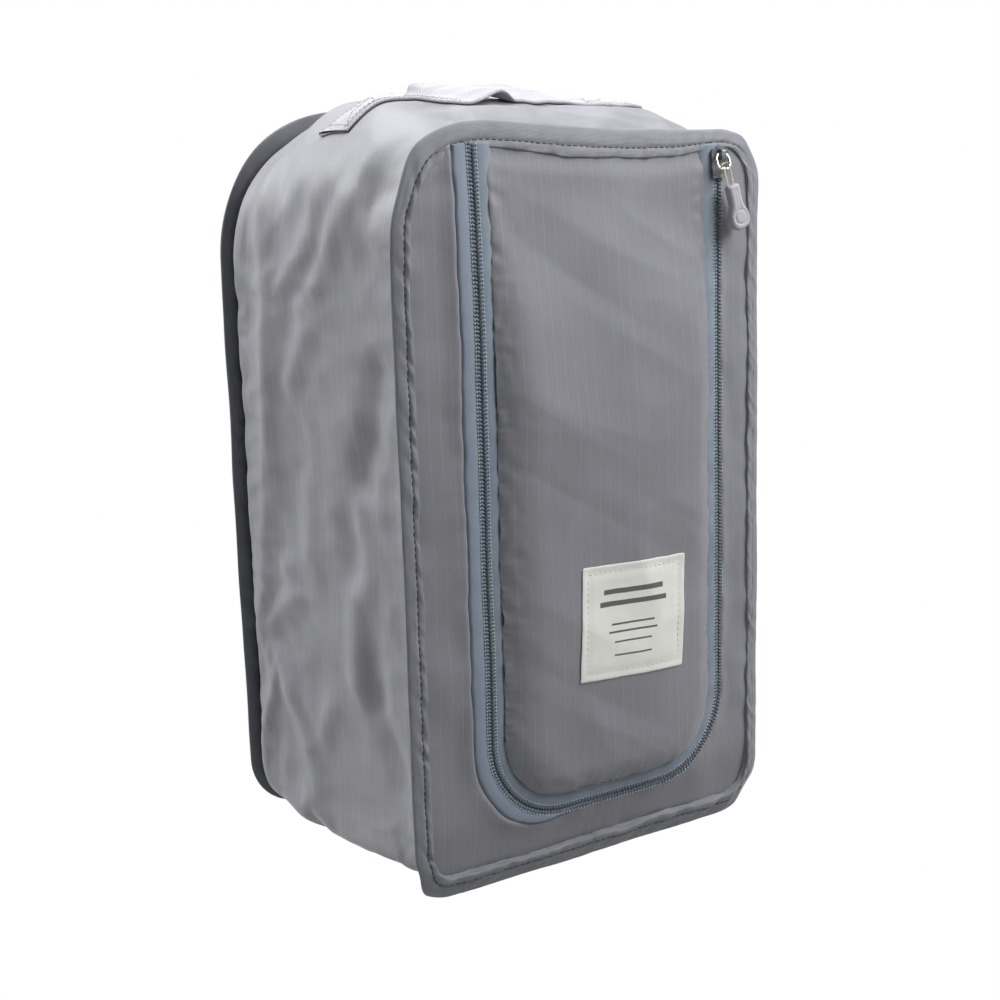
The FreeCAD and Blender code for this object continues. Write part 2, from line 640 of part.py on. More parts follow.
makeBackPanel()
makeGusset()
makeHem("gusset_front_hem", f"{seam} - fabric", frontCorners)
makeHem("gusset_back_hem", f"-{seam}", backCorners)
makeFrontSurround()
makeFlapHead()
makeBinding("front_binding", seam, frontCorners)
makeBinding("back_binding", f"-{seam}", backCorners)
makeZip()
makeFlapPanel()
makeLabel()
makeHandle()
makeDivider()
makeSlider()
makeBridge()
makeRing()
makeLink()
makePull()
doc.recompute()

for item in doc.Objects:
    if "Invalid" in item.State or "Error" in item.State:
        raise RuntimeError(f"{item.Label}: {item.State}")

pieces = [item for item in doc.Objects if item.TypeId in ("PartDesign::Body", "Part::Feature")]
for piece in pieces:
    if piece.Shape.isNull() or not piece.Shape.isValid():
        raise RuntimeError(f"{piece.Label}: shape is null or broken")

os.makedirs("parts", exist_ok=True)
for piece in pieces:
    piece.Shape.exportStep(f"parts/{piece.Label}.step")
    box = piece.Shape.BoundBox
    print(f"{piece.Label:20s} {piece.Shape.Volume:10.1f} mm3  x {box.XMin:7.1f} {box.XMax:7.1f}"
          f"  y {box.YMin:7.1f} {box.YMax:7.1f}  z {box.ZMin:6.1f} {box.ZMax:6.1f}")
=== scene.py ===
import math

import bmesh
import bpy
import numpy as np
from mathutils import Matrix, Vector, noise
from mathutils.bvhtree import BVHTree


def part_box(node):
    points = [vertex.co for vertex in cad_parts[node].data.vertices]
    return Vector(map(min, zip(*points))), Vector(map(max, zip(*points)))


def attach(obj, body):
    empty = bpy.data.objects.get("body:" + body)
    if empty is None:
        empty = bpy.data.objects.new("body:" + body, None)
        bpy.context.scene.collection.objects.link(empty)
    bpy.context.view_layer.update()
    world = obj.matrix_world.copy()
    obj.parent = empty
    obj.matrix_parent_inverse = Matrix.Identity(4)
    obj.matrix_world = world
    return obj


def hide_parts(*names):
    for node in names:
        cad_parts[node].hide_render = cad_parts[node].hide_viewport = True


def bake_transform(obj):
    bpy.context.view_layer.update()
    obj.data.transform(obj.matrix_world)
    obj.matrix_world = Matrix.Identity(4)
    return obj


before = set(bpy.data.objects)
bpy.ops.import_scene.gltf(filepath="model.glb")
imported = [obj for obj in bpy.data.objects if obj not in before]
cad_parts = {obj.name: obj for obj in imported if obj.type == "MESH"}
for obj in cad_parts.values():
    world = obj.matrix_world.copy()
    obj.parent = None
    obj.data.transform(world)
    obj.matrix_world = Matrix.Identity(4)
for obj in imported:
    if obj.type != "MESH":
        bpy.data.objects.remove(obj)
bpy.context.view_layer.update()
mm = 0.001
toViewer = (0.0, -1.0, 0.0)


def spanOf(node):    # lowest and highest corner of a node, in mm
    low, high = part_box(node)
    return [v / mm for v in low], [v / mm for v in high]


# what the frame says, in mm
bindLow, bindHigh = spanOf("front_binding")
rearLow, rearHigh = spanOf("back_binding")
clothLow = spanOf("front_surround")[0]
panelHigh = spanOf("back_panel")[1]
chainLow, chainHigh = spanOf("zip_coil_surround")
innerLow, innerHigh = spanOf("zip_coil_flap")
labelLow, labelHigh = spanOf("label")
strapLow, strapHigh = spanOf("handle_strap")
netLow, netHigh = spanOf("divider_mesh")
elasticLow, elasticHigh = spanOf("divider_elastic")
pullLow, pullHigh = spanOf("pull_tab")

bag = {
    "hem": 12.0,          # width of the seam that stands out all round
    "frontCorners": (27, 27, 45, 27),   # bottom right, top right, top left, bottom left
    "backCorners": (27, 45, 62, 27),
    "frontTop": [(-101, 5), (-49, 5), (-23, 2), (4, -1), (28, -3), (64, -5), (82, -6), (101, -6)],
    "backTop": [(-101, 4), (-24, 4), (20, -1), (101, -5)],   # x and how far the soft top lifts there
    "seamWander": 0.9,    # slow waves of the bound seams
    "underPull": (71, 18),       # where the top stays up to let the pull hang: x and width
    "underSlider": (72, 14),     # where the seam runs straight beside the slider: x and width
}
halfWide, tall = bindHigh[0], bindHigh[2]
frontY = clothLow[1]                 # outer face of the front cloth
backY = panelHigh[1]                 # outer face of the back cloth
frontSeamY = (bindLow[1] + bindHigh[1]) / 2
backSeamY = (rearLow[1] + rearHigh[1]) / 2


def ease(low, high, value):          # smooth step, works on arrays
    t = np.clip((np.asarray(value, float) - low) / (high - low), 0, 1)
    return t * t * (3 - 2 * t)


def hill(value, centre, width):
    return np.exp(-((np.asarray(value, float) - centre) / width) ** 2)


def drift(a, b, size, seed):         # soft noise over two arrays
    a, b = np.broadcast_arrays(np.asarray(a, float), np.asarray(b, float))
    spots = zip(a.ravel() / size, b.ravel() / size)
    return np.array([noise.noise(Vector((p, q, seed * 7.31))) for p, q in spots]).reshape(a.shape) * 1.5


def settle(x, y, z):                 # how the soft bag stands: the top leans and the seams wander
    x, y, z = (np.asarray(v, float) for v in np.broadcast_arrays(x, y, z))
    back = ease(frontY, backY, y)
    byPull = hill(x, *bag["underPull"]) * (1 - back)
    high = ease(tall * 0.5, tall * 0.98, z) * (1 - byPull) + ease(312, 330, z) * byPull
    lift = (np.interp(x, *zip(*bag["frontTop"])) * (1 - back)
            + np.interp(x, *zip(*bag["backTop"])) * back)
    calm = 1 - hill(x, *bag["underSlider"]) * (1 - back)
    newX = x + drift(z, y, 90, 3) * bag["seamWander"] * ease(60, 100, abs(x))
    newY = y + drift(x + z, z - x, 70, 5) * bag["seamWander"] * calm
    return newX, newY, z + lift * high


def spanAt(z, corners, inset):       # left and right ends of an outline at a height, drawn in
    ends = []
    for above, below, sign in ((corners[2], corners[3], -1), (corners[1], corners[0], 1)):
        up, down = above - inset, below - inset
        rise = np.clip(z - (tall - inset - up), 0, up)
        drop = np.clip(inset + down - z, 0, down)
        turned = np.sqrt(up * up - rise * rise) - up + np.sqrt(down * down - drop * drop) - down
        ends.append(sign * (halfWide - inset + turned))
    return ends


def straight(start, end, count, normal):     # points on a line, each with its normal
    start, end = np.array(start, float), np.array(end, float)
    return np.hstack([start + (end - start) * np.arange(count)[:, None] / count, np.tile(normal, (count, 1))])


def quarter(centre, radius, start, count, sign=1):    # the same on a quarter turn, from start in degrees
    angle = np.radians(start + 90 * np.arange(count) / count)
    ray = np.stack([np.cos(angle), np.sin(angle)], -1)
    return np.hstack([np.array(centre) + radius * ray, sign * ray])


def seamLine(corners):               # the seam line of one face, its outward normals, its length so far
    w, low, high = halfWide - bag["hem"], bag["hem"], tall - bag["hem"]
    r = [max(c - bag["hem"], 3) for c in corners]
    line = np.vstack([
        straight((0, low), (w - r[0], low), 46, (0, -1)),
        quarter((w - r[0], low + r[0]), r[0], -90, 26),
        straight((w, low + r[0]), (w, high - r[1]), 168, (1, 0)),
        quarter((w - r[1], high - r[1]), r[1], 0, 26),
        straight((w - r[1], high), (-w + r[2], high), 92, (0, 1)),
        quarter((-w + r[2], high - r[2]), r[2], 90, 26),
        straight((-w, high - r[2]), (-w, low + r[3]), 168, (-1, 0)),
        quarter((-w + r[3], low + r[3]), r[3], 180, 26),
        straight((-w + r[3], low), (0, low), 46, (0, -1)),
    ])
    points, normals = line[:, :2], line[:, 2:]
    steps = np.linalg.norm(np.roll(points, -1, 0) - points, axis=1)
    return points, normals, np.concatenate([[0], np.cumsum(steps)])


def pair(a, b):                      # two arrays as one of pairs
    return np.stack(np.broadcast_arrays(a, b), -1)


# meshes from points in mm

def addObject(name, data):
    made = bpy.data.objects.new(name, data)
    bpy.context.scene.collection.objects.link(made)
    return made


def addMesh(name, points, faces, finish):
    mesh = bpy.data.meshes.new(name)
    mesh.from_pydata((points.reshape(-1, 3) * mm).tolist(), [], faces)
    mesh.shade_smooth()
    mesh.materials.append(finish)
    return addObject(name, mesh)


def gridPiece(name, points, finish, uv, loop=False, wrap=False, flip=False, thick=0.0, level=1):
    rows, columns = points.shape[:2]
    index = np.arange(rows * columns).reshape(rows, columns)
    if loop:
        index = np.vstack([index, index[:1]])
    if wrap:
        index = np.hstack([index, index[:, :1]])
    quads = np.stack([index[:-1, :-1], index[1:, :-1], index[1:, 1:], index[:-1, 1:]], -1).reshape(-1, 4)
    at = np.stack([uv[:-1, :-1], uv[1:, :-1], uv[1:, 1:], uv[:-1, 1:]], 2).reshape(-1, 4, 2)
    if flip:
        quads, at = quads[:, ::-1], at[:, ::-1]
    piece = addMesh(name, points, quads.tolist(), finish)
    places = piece.data.uv_layers.new(name="UVMap").data
    places.foreach_set("uv", (at.reshape(-1) * mm).astype(np.float32))
    if thick:
        shell = piece.modifiers.new("Thickness", "SOLIDIFY")
        shell.thickness, shell.offset = thick * mm, -1
    if level:
        soft = piece.modifiers.new("Soft", "SUBSURF")
        soft.levels = soft.render_levels = level
    return piece


def bead(length, width, height, slices=8, rings=5, power=2.6):    # a plump grain lying along x
    shape = bmesh.new()
    bmesh.ops.create_uvsphere(shape, u_segments=slices, v_segments=rings, radius=1)
    points = []
    for vert in shape.verts:
        x, y, z = vert.co.z, vert.co.x, vert.co.y
        swell = (abs(x) ** power + abs(math.hypot(y, z)) ** power) ** (1 / power)
        points.append((x / swell * length / 2, y / swell * width / 2, z / swell * height / 2))
    faces = [[v.index for v in face.verts] for face in shape.faces]
    shape.free()
    return np.array(points), faces


def scatter(name, shape, origins, along, up, finish):    # one mesh, with a copy of the grain at each place
    grain, faces = shape
    along = along / np.linalg.norm(along, axis=1)[:, None]
    side = np.cross(up, along)
    side = side / np.linalg.norm(side, axis=1)[:, None]
    top = np.cross(along, side)
    points = (origins[:, None] + grain[None, :, :1] * along[:, None] + grain[None, :, 1:2] * side[:, None]
              + grain[None, :, 2:] * top[:, None])
    every = [[i * len(grain) + k for k in face] for i in range(len(origins)) for face in faces]
    return addMesh(name, points, every, finish)


def stitchRow(line, gap, first=0.0):     # places and directions of stitches spaced along a line of points
    steps = np.linalg.norm(np.diff(line, axis=0), axis=1)
    far = np.concatenate([[0], np.cumsum(steps)])
    places = np.arange(first + gap / 2, far[-1] - gap / 2, gap)
    at = np.stack([np.interp(places, far, line[:, k]) for k in range(3)], 1)
    ahead = np.stack([np.interp(places + gap * 0.3, far, line[:, k]) for k in range(3)], 1)
    return at, ahead - at


def sew(name, lines, look, up, thread):      # one mesh of stitches along lines of points
    rows = [stitchRow(line, look["gap"]) for line in lines]
    at, onward = (np.concatenate(parts) for parts in zip(*rows))
    return scatter(name, bead(*look["stitch"]), at, onward, up, finish[thread])


class Wire:                          # an output of a node that takes part in sums
    def __init__(self, tree, socket):
        self.tree, self.socket = tree, socket

    def sum(self, operation, first, second=0.0):
        node = self.tree.nodes.new("ShaderNodeMath")
        node.operation = operation
        for slot, value in zip(node.inputs, (first, second)):
            plug(self.tree, slot, value)
        return Wire(self.tree, node.outputs[0])

    def __add__(self, other):
        return self.sum("ADD", self, other)

    def __radd__(self, other):
        return self.sum("ADD", other, self)

    def __sub__(self, other):
        return self.sum("SUBTRACT", self, other)

    def __rsub__(self, other):
        return self.sum("SUBTRACT", other, self)

    def __mul__(self, other):
        return self.sum("MULTIPLY", self, other)

    def __rmul__(self, other):
        return self.sum("MULTIPLY", other, self)

    def __truediv__(self, other):
        return self.sum("DIVIDE", self, other)

    def __pow__(self, other):
        return self.sum("POWER", self, other)

    def __gt__(self, other):
        return self.sum("GREATER_THAN", self, other)

    def __lt__(self, other):
        return self.sum("LESS_THAN", self, other)

    def sine(self):
        return self.sum("SINE", self)

    def size(self):
        return self.sum("ABSOLUTE", self)

    def part(self):
        return self.sum("FRACT", self)


def plug(tree, slot, value):
    if isinstance(value, Wire):
        tree.links.new(value.socket, slot)
    elif isinstance(value, (tuple, list)) and len(value) == 3 and slot.type == "RGBA":
        slot.default_value = (*value, 1)
    else:
        slot.default_value = value


def grey(r, g, b):                   # screen values from 0 to 255 as the renderer's numbers
    return tuple((c / 255 / 12.92) if c <= 10 else ((c / 255 + 0.055) / 1.055) ** 2.4 for c in (r, g, b))


class Finish:                        # a material and the one way its nodes are made
    def __init__(self, name, **fixed):
        self.material = bpy.data.materials.new(name)
        self.material.use_nodes = True
        self.tree = self.material.node_tree
        self.shader = self.tree.nodes["Principled BSDF"]
        for socket, value in fixed.items():
            plug(self.tree, self.shader.inputs[socket.replace("_", " ")], value)

    def node(self, kind, settings=None, values=None, out=0):
        made = self.tree.nodes.new("ShaderNode" + kind)
        for name, value in (settings or {}).items():
            if name == "stops":
                while len(made.color_ramp.elements) < len(value):
                    made.color_ramp.elements.new(1)
                for stop, (place, colour) in zip(made.color_ramp.elements, value):
                    stop.position, stop.color = place, (*colour, 1)
            else:
                setattr(made, name, value)
        for name, value in (values or {}).items():
            slot = [s for s in made.inputs if name in (s.identifier, s.name)][0]
            plug(self.tree, slot, value)
        if isinstance(out, int):
            return Wire(self.tree, made.outputs[out])
        return Wire(self.tree, [s for s in made.outputs if out in (s.identifier, s.name)][0])

    def cloth(self):                 # the two directions of the weave, in metres
        spot = self.node("UVMap", {"uv_map": "UVMap"})
        u, v = (self.node("SeparateXYZ", None, {"Vector": spot}, axis) for axis in "XY")
        return u, v, spot

    def place(self):
        return self.node("TexCoord", None, None, "Object")

    def speckle(self, where, size, detail=3):
        values = {"Vector": where, "Scale": 1 / (size * mm), "Detail": detail}
        return self.node("TexNoise", None, values, "Fac")

    def stretched(self, where, scale, turn=0.0):     # the same places drawn out one way
        return self.node("Mapping", None, {"Vector": where, "Rotation": (0, 0, turn), "Scale": scale})

    def ribs(self, along, gap):      # a wave from 0 to 1 that repeats every gap, in mm
        return (along * (2 * math.pi / (gap * mm))).sine() * 0.5 + 0.5

    def weave(self, u, v, gap):      # crossing threads, from -1 to 1
        wave = 2 * math.pi / (gap * mm)
        return (u * wave).sine() * (v * wave).sine()

    def blend(self, mask, first, second):
        return self.node("Mix", {"data_type": "RGBA"},
                         {"Factor_Float": mask, "A_Color": first, "B_Color": second}, "Result_Color")

    def bump(self, height, depth, strength=1.0):     # depth in mm
        return self.node("Bump", None, {"Height": height, "Distance": depth * mm, "Strength": strength})

    def set(self, **links):
        for socket, value in links.items():
            plug(self.tree, self.shader.inputs[socket.replace("_", " ")], value)
        return self.material


def ripstop():
    look = {
        "dark": grey(116, 116, 121), "light": grey(139, 139, 145), "line": grey(158, 159, 166),
        "square": 5.2, "thread": 0.42,       # mm
        "lines": 0.5, "weave": 0.06, "grain": 0.5,     # how strongly each shows
    }
    made = Finish("ripstopCloth", Roughness=0.5, Sheen_Weight=0.25, Sheen_Roughness=0.4)
    u, v, spot = made.cloth()
    cloudy = made.speckle(spot, 38, 4)
    streak = made.speckle(made.stretched(spot, (6, 0.35, 1)), 22, 3)
    acrossLines = 1 - ((u / (look["square"] * mm) + streak * 0.1).part() * 2 - 1).size()
    upLines = 1 - ((v / (look["square"] * mm)).part() * 2 - 1).size()
    lines = made.node("Math", {"operation": "MAXIMUM"}, {
        "Value": (acrossLines > 0.9) * (streak ** 1.6) * 1.2,
        "Value_001": (upLines > 0.93) * 0.06,
    })
    weave = made.weave(u, v, look["thread"])
    grain = made.speckle(spot, 0.75, 2)
    colour = made.blend(cloudy, look["dark"], look["light"])
    colour = made.blend(lines * look["lines"], colour, look["line"])
    colour = made.blend(weave * look["weave"] + look["weave"], colour, look["line"])
    colour = made.blend((grain - 0.38) * look["grain"], colour, look["line"])
    crushed = made.speckle(made.stretched(spot, (1, 0.4, 1), 0.6), 30, 3)
    relief = weave * 0.5 + lines * 1.4 + streak * 0.6 + grain * 0.8 + crushed * 14
    return made.set(Base_Color=colour, Roughness=0.42 + cloudy * 0.16, Normal=made.bump(relief, 0.05, 0.8))


def tapeCloth(name, base, light, rib, twill, puckerShadeAndBump=0.0):    # narrow woven goods, ribbed or in a twill, with painted shade as dark slanted streaks at the puckers
    made = Finish(name, Roughness=0.6, Sheen_Weight=0.3, Sheen_Roughness=0.35)
    u, v, spot = made.cloth()
    ribs = made.ribs(u + v * twill, rib)
    worn = made.speckle(spot, 9, 4)
    puckerShadeAndRelief = made.speckle(made.stretched(spot, (1, 0.14, 1), math.radians(52)), 2.6, 3)
    colour = made.blend(worn, base, light)
    colour = made.blend(ribs * 0.28, colour, light)
    # painted shade: dark slanted streaks where the tape puckers; the same streaks are also bumped below
    colour = made.blend((puckerShadeAndRelief - 0.5) * puckerShadeAndBump, colour, (0.02, 0.02, 0.024))
    relief = ribs + worn * 0.5 + puckerShadeAndRelief * (puckerShadeAndBump * 4)
    return made.set(Base_Color=colour, Roughness=0.5 + worn * 0.2, Normal=made.bump(relief, 0.09, 0.7))


def webCloth():                      # the handle's pale herringbone webbing
    look = {"base": grey(140, 137, 146), "light": grey(232, 229, 235), "rib": 2.0, "herring": 6.25}
    made = Finish("paleWebbing", Roughness=0.8, Sheen_Weight=0.25)
    u, v, spot = made.cloth()
    turnBack = ((v / (look["herring"] * mm)).part() * 2 - 1).size() * 2
    ribs = made.ribs(u + turnBack * (2.5 * look["rib"] * mm), look["rib"])
    grain = made.ribs(v, 0.9)
    worn = made.speckle(spot, 7, 4)
    colour = made.blend(ribs * 0.6 + worn * 0.25 + grain * 0.15, look["base"], look["light"])
    relief = made.bump(ribs + grain * 0.5, 0.3, 1.0)
    return made.set(Base_Color=colour, Roughness=0.7 + worn * 0.2, Normal=relief)


def nylon():                         # the chain's coils
    made = Finish("coilNylon", Roughness=0.38, Specular_IOR_Level=0.5)
    worn = made.speckle(made.place(), 2.4, 4)
    colour = made.blend(worn, grey(80, 90, 100), grey(122, 133, 143))
    return made.set(Base_Color=colour, Roughness=0.3 + worn * 0.2, Normal=made.bump(worn, 0.05, 0.4))


def sewingThread(name, dark, light):
    made = Finish(name, Roughness=0.7)
    twist = made.speckle(made.place(), 0.5, 2)
    return made.set(Base_Color=made.blend(twist, dark, light), Normal=made.bump(twist, 0.08, 0.6))


def brushedMetal():
    made = Finish("paleGoldMetal", Metallic=1.0)
    where = made.place()
    scuffs = made.speckle(made.stretched(where, (3, 1, 0.6)), 0.9, 5)
    tarnish = made.speckle(where, 3.2, 3)
    colour = made.blend(tarnish, grey(186, 174, 148), grey(233, 229, 218))
    return made.set(Base_Color=colour, Roughness=0.2 + scuffs * 0.2, Normal=made.bump(scuffs, 0.03, 0.3))


def softRubber():
    made = Finish("greyRubber", Roughness=0.6, Specular_IOR_Level=0.35)
    where = made.place()
    skin, dust = made.speckle(where, 0.35, 3), made.speckle(where, 4.5, 3)
    colour = made.blend(dust, grey(172, 169, 175), grey(196, 193, 198))
    return made.set(Base_Color=colour, Roughness=0.52 + dust * 0.2, Normal=made.bump(skin, 0.05, 0.5))


def labelCloth():
    look = {
        "cream": (grey(228, 227, 219), grey(245, 244, 238)), "print": grey(48, 48, 50),
        # plain printed rules: height above the middle, half length and half thickness in mm
        "rules": [(13.5, 16, 1.15), (8.0, 18, 1.15), (-1.5, 11.5, 0.45), (-5.0, 13, 0.45),
                  (-9.5, 10, 0.4), (-15.5, 10, 0.4)],
    }
    made = Finish("creamLabel", Roughness=0.7, Sheen_Weight=0.2)
    u, v, spot = made.cloth()
    worn = made.speckle(spot, 11, 4)
    colour = made.blend(worn, *look["cream"])
    for level, half, thick in look["rules"]:
        rule = ((v - level * mm).size() < thick * mm) * ((u + 0.5 * mm).size() < half * mm)
        colour = made.blend(rule * 0.9, colour, look["print"])
    relief = made.weave(u, v, 0.5) + worn
    return made.set(Base_Color=colour, Roughness=0.62 + worn * 0.15, Normal=made.bump(relief, 0.05, 0.5))


def netting():                       # the divider's open mesh
    look = {"dark": grey(52, 54, 58), "light": grey(84, 86, 92), "hole": 2.2, "open": 0.42}
    made = Finish("darkNetting", Roughness=0.65)
    u, v, spot = made.cloth()
    hole = look["hole"] * mm
    a, b = (u / hole + v / hole).part() * 2 - 1, (u / hole - v / hole).part() * 2 - 1
    cord = a * a + b * b
    worn = made.speckle(spot, 12, 3)
    return made.set(Base_Color=made.blend(worn, look["dark"], look["light"]),
                    Alpha=1 - ((1 - cord) > look["open"]), Normal=made.bump(cord, 0.12, 0.6))


def paintedMetal():                  # the slider's dark lacquer, rubbed pale in places
    made = Finish("lacqueredMetal", Metallic=0.6)
    where = made.place()
    scuffs, rubbed = made.speckle(where, 0.8, 5), made.speckle(where, 2.6, 3)
    colour = made.blend((rubbed > 0.6) * 0.35, grey(112, 116, 122), grey(196, 192, 180))
    return made.set(Base_Color=colour, Roughness=0.3 + scuffs * 0.25, Normal=made.bump(scuffs, 0.03, 0.3))


def paintAll():
    return {
        "cloth": ripstop(),
        # the last number of both bindings is painted shade, dark slanted streaks at the puckers
        "binding": tapeCloth("bindingCloth", grey(112, 113, 119), grey(146, 147, 154), 0.55, 0.0, 0.9),
        # painted shade: the back binding is the same tape as the front, coloured darker for the shade it
        # faces
        "bindingInPaintedShade": tapeCloth("bindingClothPaintedShade", grey(84, 85, 91), grey(112, 113, 120), 0.55, 0.0, 0.7),
        "smoothTape": tapeCloth("satinTape", grey(118, 128, 143), grey(143, 154, 170), 0.4, 0.0),
        "twillTape": tapeCloth("twillTape", grey(98, 109, 122), grey(150, 162, 174), 1.05, 0.9),
        "webbing": webCloth(),
        "coil": nylon(),
        "chainThread": sewingThread("chainThread", grey(150, 160, 168), grey(186, 194, 202)),
        "greyThread": sewingThread("greyThread", grey(50, 52, 58), grey(84, 86, 93)),
        "paleThread": sewingThread("paleThread", grey(196, 190, 168), grey(232, 226, 206)),
        "webThread": sewingThread("webThread", grey(96, 92, 100), grey(150, 146, 154)),
        "metal": brushedMetal(),
        "darkMetal": paintedMetal(),
        "rubber": softRubber(),
        "label": labelCloth(),
        "net": netting(),
        "elastic": tapeCloth("flatElastic", grey(48, 49, 53), grey(80, 82, 87), 0.9, 0.0),
    }


finish = paintAll()
print("finishes made:", len(finish))


# the zip's path, from the head of the left leg round to the head of the right

zipper = {
    "chain": 3.1,         # how far the chain reaches to either side, in mm like the rest
    "corner": 38.0,
    "top": 321.0,
    "bareLeft": 6.0,      # tape that shows outside the chain, on the left leg and elsewhere
    "bareRight": -1.9,
    "flapLeft": 3.6,      # the same inside it
    "flapRight": 4.6,
}
zipLeft = (chainLow[0] + innerLow[0]) / 2 + zipper["chain"] / 2
zipRight = (chainHigh[0] + innerHigh[0]) / 2 - zipper["chain"] / 2
zipLow = (chainLow[2] + innerLow[2]) / 2 + zipper["chain"] / 2


def zipPath(step=1.25):              # its points, the direction towards the flap, its length so far
    r, top = zipper["corner"], zipper["top"]
    leg, across = top - zipLow - r, zipRight - zipLeft - 2 * r
    legs, bends, flats = (round(length / step) for length in (leg, r * math.pi / 2, across))
    line = np.vstack([
        straight((zipLeft, top), (zipLeft, zipLow + r), legs, (1, 0)),
        quarter((zipLeft + r, zipLow + r), r, 180, bends, -1),
        straight((zipLeft + r, zipLow), (zipRight - r, zipLow), flats, (0, 1)),
        quarter((zipRight - r, zipLow + r), r, -90, bends, -1),
        straight((zipRight, zipLow + r), (zipRight, top), legs, (-1, 0)),
        [(zipRight, top, -1, 0)],
    ])
    steps = np.linalg.norm(np.diff(line[:, :2], axis=0), axis=1)
    return line[:, :2], line[:, 2:], np.concatenate([[0], np.cumsum(steps)])


front = {
    "crown": 2.4,        # how far the filled bag pushes its whole front forward
    "rise": 6.8,         # the flap above its own edge
    "slopes": (20, 13),  # how wide the flap's slope is at the left and at the right and foot
    "belly": 1.2,
    "lane": 74,          # x of the slider's straight way down, which stays flat
    "laneWide": 18,
}


def swell(x, z):                     # how far forward the front stands at a place, in mm
    left = 1 - (1 - np.clip((x + 89) / 46, 0, 1)) ** 2
    right = 1 - (1 - np.clip((89 - x) / 34, 0, 1)) ** 2
    foot = 1 - (1 - np.clip((z - 12) / 34, 0, 1)) ** 2
    head = ease(318, 235, z)
    calm = 1 - hill(x, front["lane"], front["laneWide"]) * (0.85 + 0.15 * ease(255, 290, z))
    return front["crown"] * left * right * foot * head * calm


def bareWidths(x):                   # how much tape shows outside and inside the chain
    t = ease(-48, -8, x)
    return (zipper["bareLeft"] + (zipper["bareRight"] - zipper["bareLeft"]) * t,
            zipper["flapLeft"] + (zipper["flapRight"] - zipper["flapLeft"]) * t)


def pointsOnFront(x, z, proud):      # row-frame points standing proud of the front cloth's own face
    x, z, proud = np.broadcast_arrays(x, z, proud)
    return np.stack(settle(x, frontY - swell(x, z) - proud, z), -1)


def edgeWander(far, seed, fine=0.35, slow=0.5):
    return drift(far, 0, 26, seed) * slow + drift(far, 9, 8, seed + 1) * fine


path, pathIn, pathFar = zipPath()
outBare, inBare = bareWidths(path[:, 0])
flapLine = zipper["chain"] + inBare + edgeWander(pathFar, 11)
surroundLine = zipper["chain"] + outBare + edgeWander(pathFar, 17)


def toBinding(x, z, dx, dz, inset=8.0):      # distance from a place to the seam, along a direction
    low, high = np.zeros_like(x), np.full_like(x, 120.0)
    for _ in range(26):
        mid = (low + high) / 2
        px, pz = x + dx * mid, z + dz * mid
        corner = np.where((px < 0) & (pz > tall / 2), bag["frontCorners"][2], bag["frontCorners"][0]) - inset
        px, pz = abs(px) - (halfWide - inset - corner), abs(pz - tall / 2) - (tall / 2 - inset - corner)
        away = np.hypot(np.maximum(px, 0), np.maximum(pz, 0)) + np.minimum(np.maximum(px, pz), 0) - corner
        low, high = np.where(away < 0, mid, low), np.where(away < 0, high, mid)
    return (low + high) / 2


def makeSurround():
    look = {
        "columns": 26, "fold": 0.5,
        "lip": 1.5, "lipDrop": 1.6,          # the rolled edge beside the tape, and its drop to the tape
        "tuck": 0.6, "pull": 0.6, "slack": 1.2,
        "seamDrop": 1.0, "footDrop": 2.2,    # how far it turns under at the seam and at the foot
    }
    out = -pathIn
    start = path + out * surroundLine[:, None]
    reach = toBinding(start[:, 0], start[:, 1], out[:, 0], out[:, 1])[:, None]
    inFromEdge = reach * np.linspace(0, 1, look["columns"]) ** 1.5
    x = start[:, :1] + out[:, :1] * inFromEdge
    z = start[:, 1:] + out[:, 1:] * inFromEdge
    far = pathFar[:, None]
    tucks = drift(far, inFromEdge * 0.4, 9, 21) * look["tuck"] * np.exp(-inFromEdge / 6)
    nearSeam = np.exp(-(reach - 4 - inFromEdge).clip(0) / 5)
    pulls = drift(far * 1.4, inFromEdge * 0.3, 12, 23) * look["pull"] * nearSeam
    folds = drift(x + z * 0.5, z - x * 0.4, 30, 25) * look["slack"] * ease(0, 8, inFromEdge)
    roll = look["lip"] * np.exp(-inFromEdge / 4) - look["lipDrop"] * np.exp(-inFromEdge / 0.5)
    proud = roll + tucks + pulls + folds * (1 - nearSeam)
    proud = proud * (1 - 0.6 * hill(x, front["lane"], 12) * ease(285, 300, z))
    proud = proud - look["seamDrop"] * nearSeam - look["footDrop"] * ease(38, 16, z)
    points = pointsOnFront(x, z, proud)
    piece = gridPiece("surround_cloth", points, finish["cloth"], pair(x, z), thick=look["fold"])
    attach(piece, "bag")
    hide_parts("front_surround")


flapShape = {
    "rows": 168, "columns": 84, "fold": 0.6,
    "lift": 1.0, "crumple": 0.9, "edgeDrop": 1.6, "headDrop": 1.1,
    "lean": -32,         # degrees the slack folds slope
    # slack folds: x and z of the middle, length, width, height
    "slants": [(-30, 214, 46, 9, 1.0), (-22, 178, 60, 10, -1.0), (-28, 126, 40, 9, 0.8),
               (40, 158, 34, 10, -0.7), (-8, 84, 46, 9, -0.9), (8, 62, 40, 9, 0.8),
               (30, 232, 50, 12, 0.8), (-12, 268, 46, 10, -0.8), (38, 283, 30, 8, 0.7)],
}


def flapEdges(z):                    # left and right edge of the flap's cloth at a height
    leftSide, rightSide = pathFar < pathFar[-1] / 2, pathFar >= pathFar[-1] / 2
    line = path + pathIn * flapLine[:, None]
    left, right = line[leftSide], line[rightSide]
    return (np.interp(z, left[::-1, 1], left[::-1, 0]), np.interp(z, right[:, 1], right[:, 0]))


